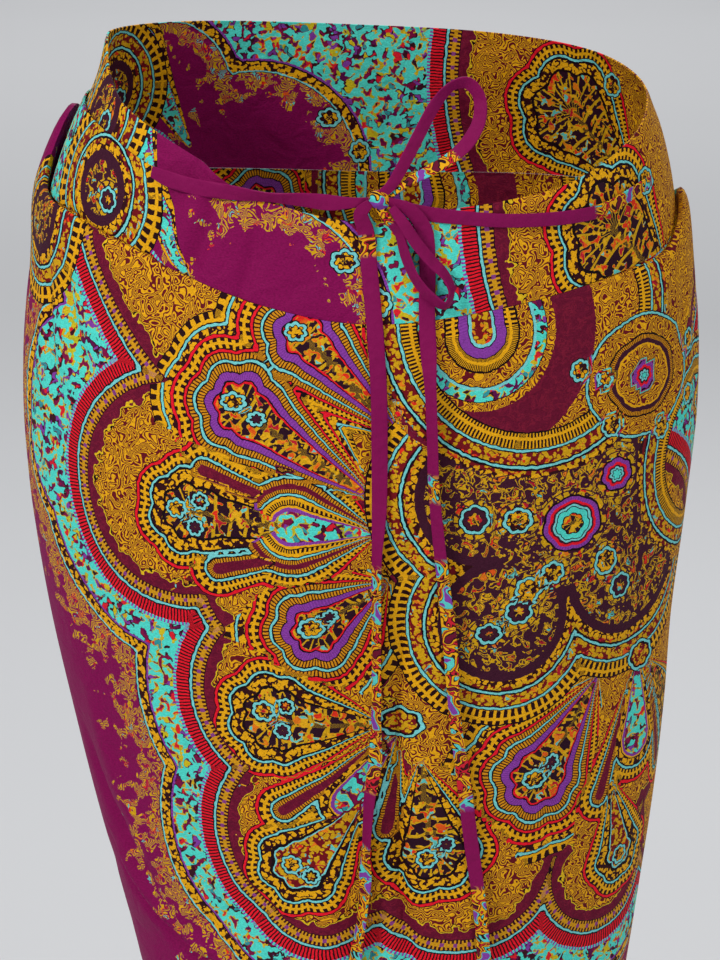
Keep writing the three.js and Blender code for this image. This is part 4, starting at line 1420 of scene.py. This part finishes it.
def bend_cloth(tree, cloth):
    """The place on the cloth, bent a little, so that round figures get uneven outlines."""
    bend = node(tree, "ShaderNodeTexNoise", values={"Scale": 1 / BEND_LENGTH, "Detail": 1.0}, links={
        "Vector": cloth})
    bend = node(tree, "ShaderNodeVectorMath", {"operation": "MULTIPLY_ADD"},
                {1: (BEND, BEND, 0), 2: (-BEND / 2, -BEND / 2, 0)}, {0: bend.outputs["Color"]})
    return node(tree, "ShaderNodeVectorMath", {"operation": "ADD"}, links={
        0: cloth, 1: bend.outputs[0]}).outputs[0]

# %% Figures
BEAD_SPACING = 2.2  # mm
BEAD_SIZE = 0.56  # of that spacing
SPINE_DEPTH = 1.7  # mm inside an outline where the spine of the rungs starts
SPINE = (2.8, 2.0)  # its stripes, as in the table
VERMICELLI = (0.056, 0.029)  # stripes in height of the cloud
SPRIG_OUTLINE = (0.06, 0.026)
FOLIAGE = (8.0, 46.0)  # where the foliage starts and ends, out from the border (mm)
FOLIAGE_CUT = (0.36, 0.66)  # the height its clouds are cut at, at both ends
SPRAY = 11  # how far the leaves round a bloom reach out (mm)
SPRAY_SWAY = 6  # how much the wobble turns them
LEAVES = 5  # pairs of leaves round a bloom
LEAF_ACROSS = (pi / 2, 0.62)  # stripes round the bloom
LEAF_ALONG = (1.9, 0.3)  # and away from it (mm)


def draw_sprigs(tree, masks, clouds, wobble, turn, near):
    """Outlined leaves, which stand in pairs round a bloom."""
    outline = stripes(tree, clouds["leaves"], *SPRIG_OUTLINE)
    sprigs = node(tree, "ShaderNodeMath", {"operation": "MULTIPLY"}, links={0: masks["sprigs"], 1: outline})
    sway = node(tree, "ShaderNodeMath", {"operation": "MULTIPLY"}, {1: SPRAY_SWAY}, {0: wobble})
    fan = node(tree, "ShaderNodeMath", {"operation": "MULTIPLY_ADD"}, {1: LEAVES}, {
        0: turn, 2: sway.outputs[0]})
    spray = node(tree, "ShaderNodeMath", {"operation": "MULTIPLY"}, links={
        0: stripes(tree, fan.outputs[0], *LEAF_ACROSS), 1: stripes(tree, near, *LEAF_ALONG)})
    close = node(tree, "ShaderNodeMath", {"operation": "LESS_THAN"}, {1: SPRAY}, {0: near})
    return node(tree, "ShaderNodeMix", links={
        "Factor": close.outputs[0], 2: sprigs.outputs[0], 3: spray.outputs[0]}).outputs[0]


def draw_foliage(tree, clouds, worms, away):
    """Vermicelli in leafy clouds, which thin out with the distance from the border."""
    thinning = node(tree, "ShaderNodeMapRange", values={
        "From Min": FOLIAGE[0], "From Max": FOLIAGE[1], "To Min": FOLIAGE_CUT[0], "To Max": FOLIAGE_CUT[1]},
        links={"Value": away})
    leafy = node(tree, "ShaderNodeMath", {"operation": "GREATER_THAN"}, links={
        0: clouds["foliage"], 1: thinning.outputs["Result"]})
    return node(tree, "ShaderNodeMath", {"operation": "MULTIPLY"}, links={
        0: leafy.outputs[0], 1: worms}).outputs[0]


def draw_figures(tree, clouds, bent, wobble, along, away, turn, near):
    """The mask of every figure, 1 on the figure and 0 on its ground."""
    masks = {}
    for name, (cloud, height) in CUT_AT.items():
        cut = node(tree, "ShaderNodeMath", {"operation": "GREATER_THAN"}, {1: height}, {0: clouds[cloud]})
        masks[name] = cut.outputs[0]
    swing = node(tree, "ShaderNodeMath", {"operation": "MULTIPLY_ADD"}, {1: SWAY}, {0: wobble, 2: along})
    across = {name: stripes(tree, swing.outputs[0], *size) for name, size in STRIPES.items()}
    depth = node(tree, "ShaderNodeMath", {"operation": "ABSOLUTE"}, links={0: away})
    depth = node(tree, "ShaderNodeMath", {"operation": "SUBTRACT"}, {1: SPINE_DEPTH}, {0: depth.outputs[0]})
    spine = stripes(tree, depth.outputs[0], *SPINE)
    joins = {"rungs": (spine, across["rungs"]), "veins": (masks["veins"], across["veins"])}
    masks.update(across)
    for name, (first, second) in joins.items():
        both = node(tree, "ShaderNodeMath", {"operation": "MAXIMUM"}, links={0: first, 1: second})
        masks[name] = both.outputs[0]
    cells = node(tree, "ShaderNodeTexVoronoi", values={"Scale": 1 / BEAD_SPACING}, links={"Vector": bent})
    beads = node(tree, "ShaderNodeMath", {"operation": "LESS_THAN"}, {1: BEAD_SIZE}, {
        0: cells.outputs["Distance"]})
    masks["beads"] = beads.outputs[0]
    masks["vermicelli"] = stripes(tree, clouds["worms"], *VERMICELLI)
    masks["leaves"] = draw_foliage(tree, clouds, masks["vermicelli"], away)
    masks["sprigs"] = draw_sprigs(tree, masks, clouds, wobble, turn, near)
    return masks

# %% [markdown]
# Lively figures take their colours from patches of cloth, a few millimetres
# wide. A flower has one list of colours for its rim and one for its heart, and
# a leaf has gold at its rim.

# %% Floral colours
PATCHES = {
    # what is coloured: mm from patch to patch, and the colours
    "flower rim": (7.5, OUTLINE_COLOURS),
    "flower heart": (4.4, BLOB_COLOURS),
    "leaf heart": (4.9, EMBER_COLOURS),
}


def patch_colours(tree, bent, spacing, colours):
    """A colour for each patch of cloth, picked from the list."""
    cells = node(tree, "ShaderNodeTexVoronoi", values={"Scale": 1 / spacing}, links={"Vector": bent})
    pick = node(tree, "ShaderNodeSeparateColor", links={"Color": cells.outputs["Color"]})
    group, inputs = new_group("floral colours", {"Pick": "NodeSocketFloat"})
    ramp = node(group, "ShaderNodeValToRGB", links={"Fac": inputs["Pick"]})
    stepped(ramp, [(k / len(colours), linear(colour)) for k, colour in enumerate(colours)])
    close_group(group, {"Colour": ramp.outputs["Color"]})
    return node(tree, "ShaderNodeGroup", {"node_tree": group}, links={
        "Pick": pick.outputs["Red"]}).outputs[0]


def floral_colours(tree, bent, masks):
    """The colours of flowers and of leaves."""
    patches = {name: patch_colours(tree, bent, *patch) for name, patch in PATCHES.items()}
    flower = node(tree, "ShaderNodeMix", {"data_type": "RGBA"}, links={
        "Factor": masks["flower hearts"], "A": patches["flower rim"], "B": patches["flower heart"]})
    leaf = node(tree, "ShaderNodeMix", {"data_type": "RGBA"}, {"A": linear(LEAF_GOLD)}, {
        "Factor": masks["leaf hearts"], "B": patches["leaf heart"]})
    return flower.outputs["Result"], leaf.outputs["Result"]

# %% [markdown]
# The ink card tells of each ink its ground, its figure's colour, whether it is
# lively and which pattern it has. A colour has three channels, so one ramp can
# say yes or no for three patterns.

# %% The ink card
THREES = [PATTERNS[first:first + 3] for first in range(0, len(PATTERNS), 3)]


def make_card():
    """A group that looks an ink's number up."""
    columns = {
        "Ground": [linear(ink["ground"]) for ink in INKS],
        "Figure": [linear(ink["figure"]) for ink in INKS],
        "Lively": [(ink["lively"],) * 3 + (1,) for ink in INKS],
    }
    for three in THREES:
        rows = [[float(ink["pattern"] == pattern) for pattern in three] for ink in INKS]
        columns[three[0]] = [row + [0] * (3 - len(row)) + [1] for row in rows]
    card, inputs = new_group("ink card", {"Ink": "NodeSocketFloat"})
    outputs = {}
    for column, colours in columns.items():
        ramp = node(card, "ShaderNodeValToRGB", links={"Fac": inputs["Ink"]})
        stepped(ramp, [(k / INK_STEPS, colour) for k, colour in enumerate(colours)])
        outputs[column] = ramp.outputs["Color"]
    close_group(card, outputs)
    return card

# %% [markdown]
# The whole design is one group with one output, the colour of the cloth. The
# right side takes it as it is. The wrong side shows the same print, paler.

# %% The whole design
WOBBLE_LENGTH = 3.4  # mm over which the cutter's hand wanders
WANDER = 1.5  # and how far an outline wanders with it (mm)


def figure_share(group, inked, masks):
    """1 where the ink has a figure and 0 on its ground, from the masks and the ink's patterns."""
    share = None
    for three in THREES:
        drawn = node(group, "ShaderNodeCombineXYZ", links=dict(zip("XYZ", (masks[name] for name in three))))
        part = node(group, "ShaderNodeVectorMath", {"operation": "DOT_PRODUCT"}, links={
            0: inked[three[0]], 1: drawn.outputs[0]}).outputs["Value"]
        if share is not None:
            part = node(group, "ShaderNodeMath", {"operation": "ADD"}, links={0: share, 1: part}).outputs[0]
        share = part
    return share


def draw_design():
    """A group that gives the print's colour at each place on the cloth (mm)."""
    group, inputs = new_group("shawl design", {"Cloth": "NodeSocketVector"})
    cloth = inputs["Cloth"]
    drift = node(group, "ShaderNodeTexNoise", values={"Scale": 1 / WOBBLE_LENGTH, "Detail": 1.0}, links={
        "Vector": cloth})
    wobble = node(group, "ShaderNodeMath", {"operation": "SUBTRACT"}, {1: 0.5}, {0: drift.outputs["Fac"]})
    wobble = wobble.outputs[0]
    wander = node(group, "ShaderNodeMath", {"operation": "MULTIPLY"}, {1: WANDER}, {0: wobble}).outputs[0]
    laid_inks, turn, near = lay_screens(group, cloth, wander)
    ink, along, away = (laid_inks[axis] for axis in "XYZ")
    bent = bend_cloth(group, cloth)
    masks = draw_figures(group, draw_clouds(group, cloth), bent, wobble, along, away, turn, near)
    flower, leaf = floral_colours(group, bent, masks)
    inked = node(group, "ShaderNodeGroup", {"node_tree": make_card()}, links={"Ink": ink}).outputs
    on_turquoise = node(group, "ShaderNodeMath", {"operation": "COMPARE"}, {
        1: ink_value("turquoise florals"), 2: 0.4 / INK_STEPS}, {0: ink})
    many = node(group, "ShaderNodeMix", {"data_type": "RGBA"}, links={
        "Factor": on_turquoise.outputs[0], "A": leaf, "B": flower})
    drawn = node(group, "ShaderNodeMix", {"data_type": "RGBA"}, links={
        "Factor": inked["Lively"], "A": inked["Figure"], "B": many.outputs["Result"]})
    printed = node(group, "ShaderNodeMix", {"data_type": "RGBA"}, links={
        "Factor": figure_share(group, inked, masks), "A": inked["Ground"], "B": drawn.outputs["Result"]})
    close_group(group, {"Print": printed.outputs["Result"]})
    return group


design = draw_design()
print("the design is a group of", len(design.nodes), "nodes")

# %% [markdown]
# ## Crepe
# Crepe is woven from hard-twisted yarn, which crimps when the cloth is washed.
# Its surface is matt and pebbly, because the crimps scatter light, and they take
# up more or less dye, so the flat colours have a fine grain. Long soft pulls run
# through it where it was ironed and worn.

# %% Printed crepe
CREPE = (0.8, 1.3, 1)  # crimps per mm across and along the cloth
UPTAKE = (0.76, 1.18)  # how much dye the least and the most thirsty crimps take up
PULL_LENGTH = 14  # mm
PULL_HEIGHT = 6.0  # of the pulls, against that of the crimps
WRONG_SIDE_FADE = 0.35


def new_print(name, fade):
    """Printed crepe, faded by a share towards the dull colour of dye that came through."""
    material, tree = new_material(name)
    uv = node(tree, "ShaderNodeUVMap", {"uv_map": "cut cloth"})
    cloth = node(tree, "ShaderNodeVectorMath", {"operation": "SCALE"}, {"Scale": CLOTH_SCALE}, {
        0: uv.outputs[0]}).outputs[0]
    printed = node(tree, "ShaderNodeGroup", {"node_tree": design}, links={"Cloth": cloth})
    faded = node(tree, "ShaderNodeMix", {"data_type": "RGBA"}, {"Factor": fade, "B": linear("#7a4a40")}, {
        "A": printed.outputs["Print"]})
    yarn = node(tree, "ShaderNodeVectorMath", {"operation": "MULTIPLY"}, {1: CREPE}, {0: cloth})
    crimp = node(tree, "ShaderNodeTexNoise", values={"Scale": 1.0, "Detail": 2.0, "Roughness": 0.7},
                 links={"Vector": yarn.outputs[0]})
    uptake = node(tree, "ShaderNodeMapRange", values={
        "From Min": 0.3, "From Max": 0.7, "To Min": UPTAKE[0], "To Max": UPTAKE[1]}, links={
        "Value": crimp.outputs["Fac"]})
    dyed = node(tree, "ShaderNodeVectorMath", {"operation": "SCALE"}, links={
        0: faded.outputs["Result"], "Scale": uptake.outputs["Result"]})
    pull = node(tree, "ShaderNodeTexNoise", values={
        "Scale": 1 / PULL_LENGTH, "Detail": 2.0, "Distortion": 0.6}, links={"Vector": cloth})
    relief = node(tree, "ShaderNodeMath", {"operation": "MULTIPLY_ADD"}, {1: PULL_HEIGHT}, {
        0: pull.outputs["Fac"], 2: crimp.outputs["Fac"]})
    bump = node(tree, "ShaderNodeBump", values={"Strength": 0.9, "Distance": 0.0004},
                links={"Height": relief.outputs[0]})
    surface = node(tree, "ShaderNodeBsdfPrincipled", values={
        "Roughness": 0.6, "Specular IOR Level": 0.05},
        links={"Base Color": dyed.outputs[0], "Normal": bump.outputs["Normal"]})
    node(tree, "ShaderNodeOutputMaterial", links={"Surface": surface.outputs["BSDF"]})
    return material


printed_crepe = new_print("crepe printed with acid dyes", 0)
wrong_side = new_print("wrong side of the printed crepe", WRONG_SIDE_FADE)
for sheet in panels.values():
    sheet.data.materials.append(printed_crepe)
    sheet.data.materials.append(wrong_side)
print("the panels are in", printed_crepe.name)

# %% [markdown]
# The ties are cut from the magenta ground of the same cloth, and here and there
# a piece of the print runs across them, too small to show more than patches of
# colour. They are sewn into tubes, so each has a fine pucker along its edges.

# %% Tie crepe
PATCH_LENGTH = 8.5  # mm
PATCH_COLOURS = [
    # where each starts on the noise, and its colour
    (0, MAROON), (0.36, "#2a0f16"), (0.4, GOLD), (0.455, "#3a0f14"), (0.475, "#c22030"), (0.5, "#3a0f14"),
    (0.52, GOLD), (0.57, "#2a0f16"), (0.59, "#56c4bd"), (0.64, "#7d3a98"),
]
CRIMP_LENGTH = 0.6  # mm
PUCKER_LENGTH = 5.0  # mm
PUCKER_HEIGHT = 4.0  # of the pucker, against that of the crimps

tie_crepe, tree = new_material("magenta crepe sewn into a tube")
uv = node(tree, "ShaderNodeUVMap", {"uv_map": "cut cloth"})
strip = node(tree, "ShaderNodeVectorMath", {"operation": "SCALE"}, {"Scale": CLOTH_SCALE}, {0: uv.outputs[0]})
strip = strip.outputs[0]
patches = node(tree, "ShaderNodeTexNoise", values={
    "Scale": 1 / PATCH_LENGTH, "Detail": 1.2, "Distortion": 0.8}, links={"Vector": strip})
pieces = node(tree, "ShaderNodeValToRGB", links={"Fac": patches.outputs["Fac"]})
stepped(pieces, [(start, linear(colour)) for start, colour in PATCH_COLOURS])
printed_part = node(tree, "ShaderNodeAttribute", {"attribute_name": "printed"})
tie_colour = node(tree, "ShaderNodeMix", {"data_type": "RGBA"}, {"A": linear(MAGENTA)}, {
    "Factor": printed_part.outputs["Fac"], "B": pieces.outputs["Color"]})
crimp = node(tree, "ShaderNodeTexNoise", values={
    "Scale": 1 / CRIMP_LENGTH, "Detail": 3.0, "Roughness": 0.7}, links={"Vector": strip})
pucker = node(tree, "ShaderNodeTexNoise", values={"Scale": 1 / PUCKER_LENGTH, "Detail": 1.0}, links={
    "Vector": strip})
relief = node(tree, "ShaderNodeMath", {"operation": "MULTIPLY_ADD"}, {1: PUCKER_HEIGHT}, {
    0: pucker.outputs["Fac"], 2: crimp.outputs["Fac"]})
bump = node(tree, "ShaderNodeBump", values={"Strength": 0.7, "Distance": 0.0003}, links={
    "Height": relief.outputs[0]})
surface = node(tree, "ShaderNodeBsdfPrincipled", values={
    "Roughness": 0.6, "Specular IOR Level": 0.08},
    links={"Base Color": tie_colour.outputs["Result"], "Normal": bump.outputs["Normal"]})
node(tree, "ShaderNodeOutputMaterial", links={"Surface": surface.outputs["BSDF"]})

for tie, line, length in ties.values():
    tie.data.materials.append(tie_crepe)
knot.data.materials.append(tie_crepe)
print("the ties and the knot are in", tie_crepe.name)

# %% [markdown]
# ## The pieces
# Every panel, every tie and the knot hangs from the root, and the CAD part that
# it stands in for is hidden.

# %% Hanging the pieces from the root
for name, sheet in panels.items():
    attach(sheet, "root")
    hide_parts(name)

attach(knot, "root")
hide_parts("bow_knot")
for name, (tie, line, length) in ties.items():
    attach(tie, "root")
    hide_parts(name)
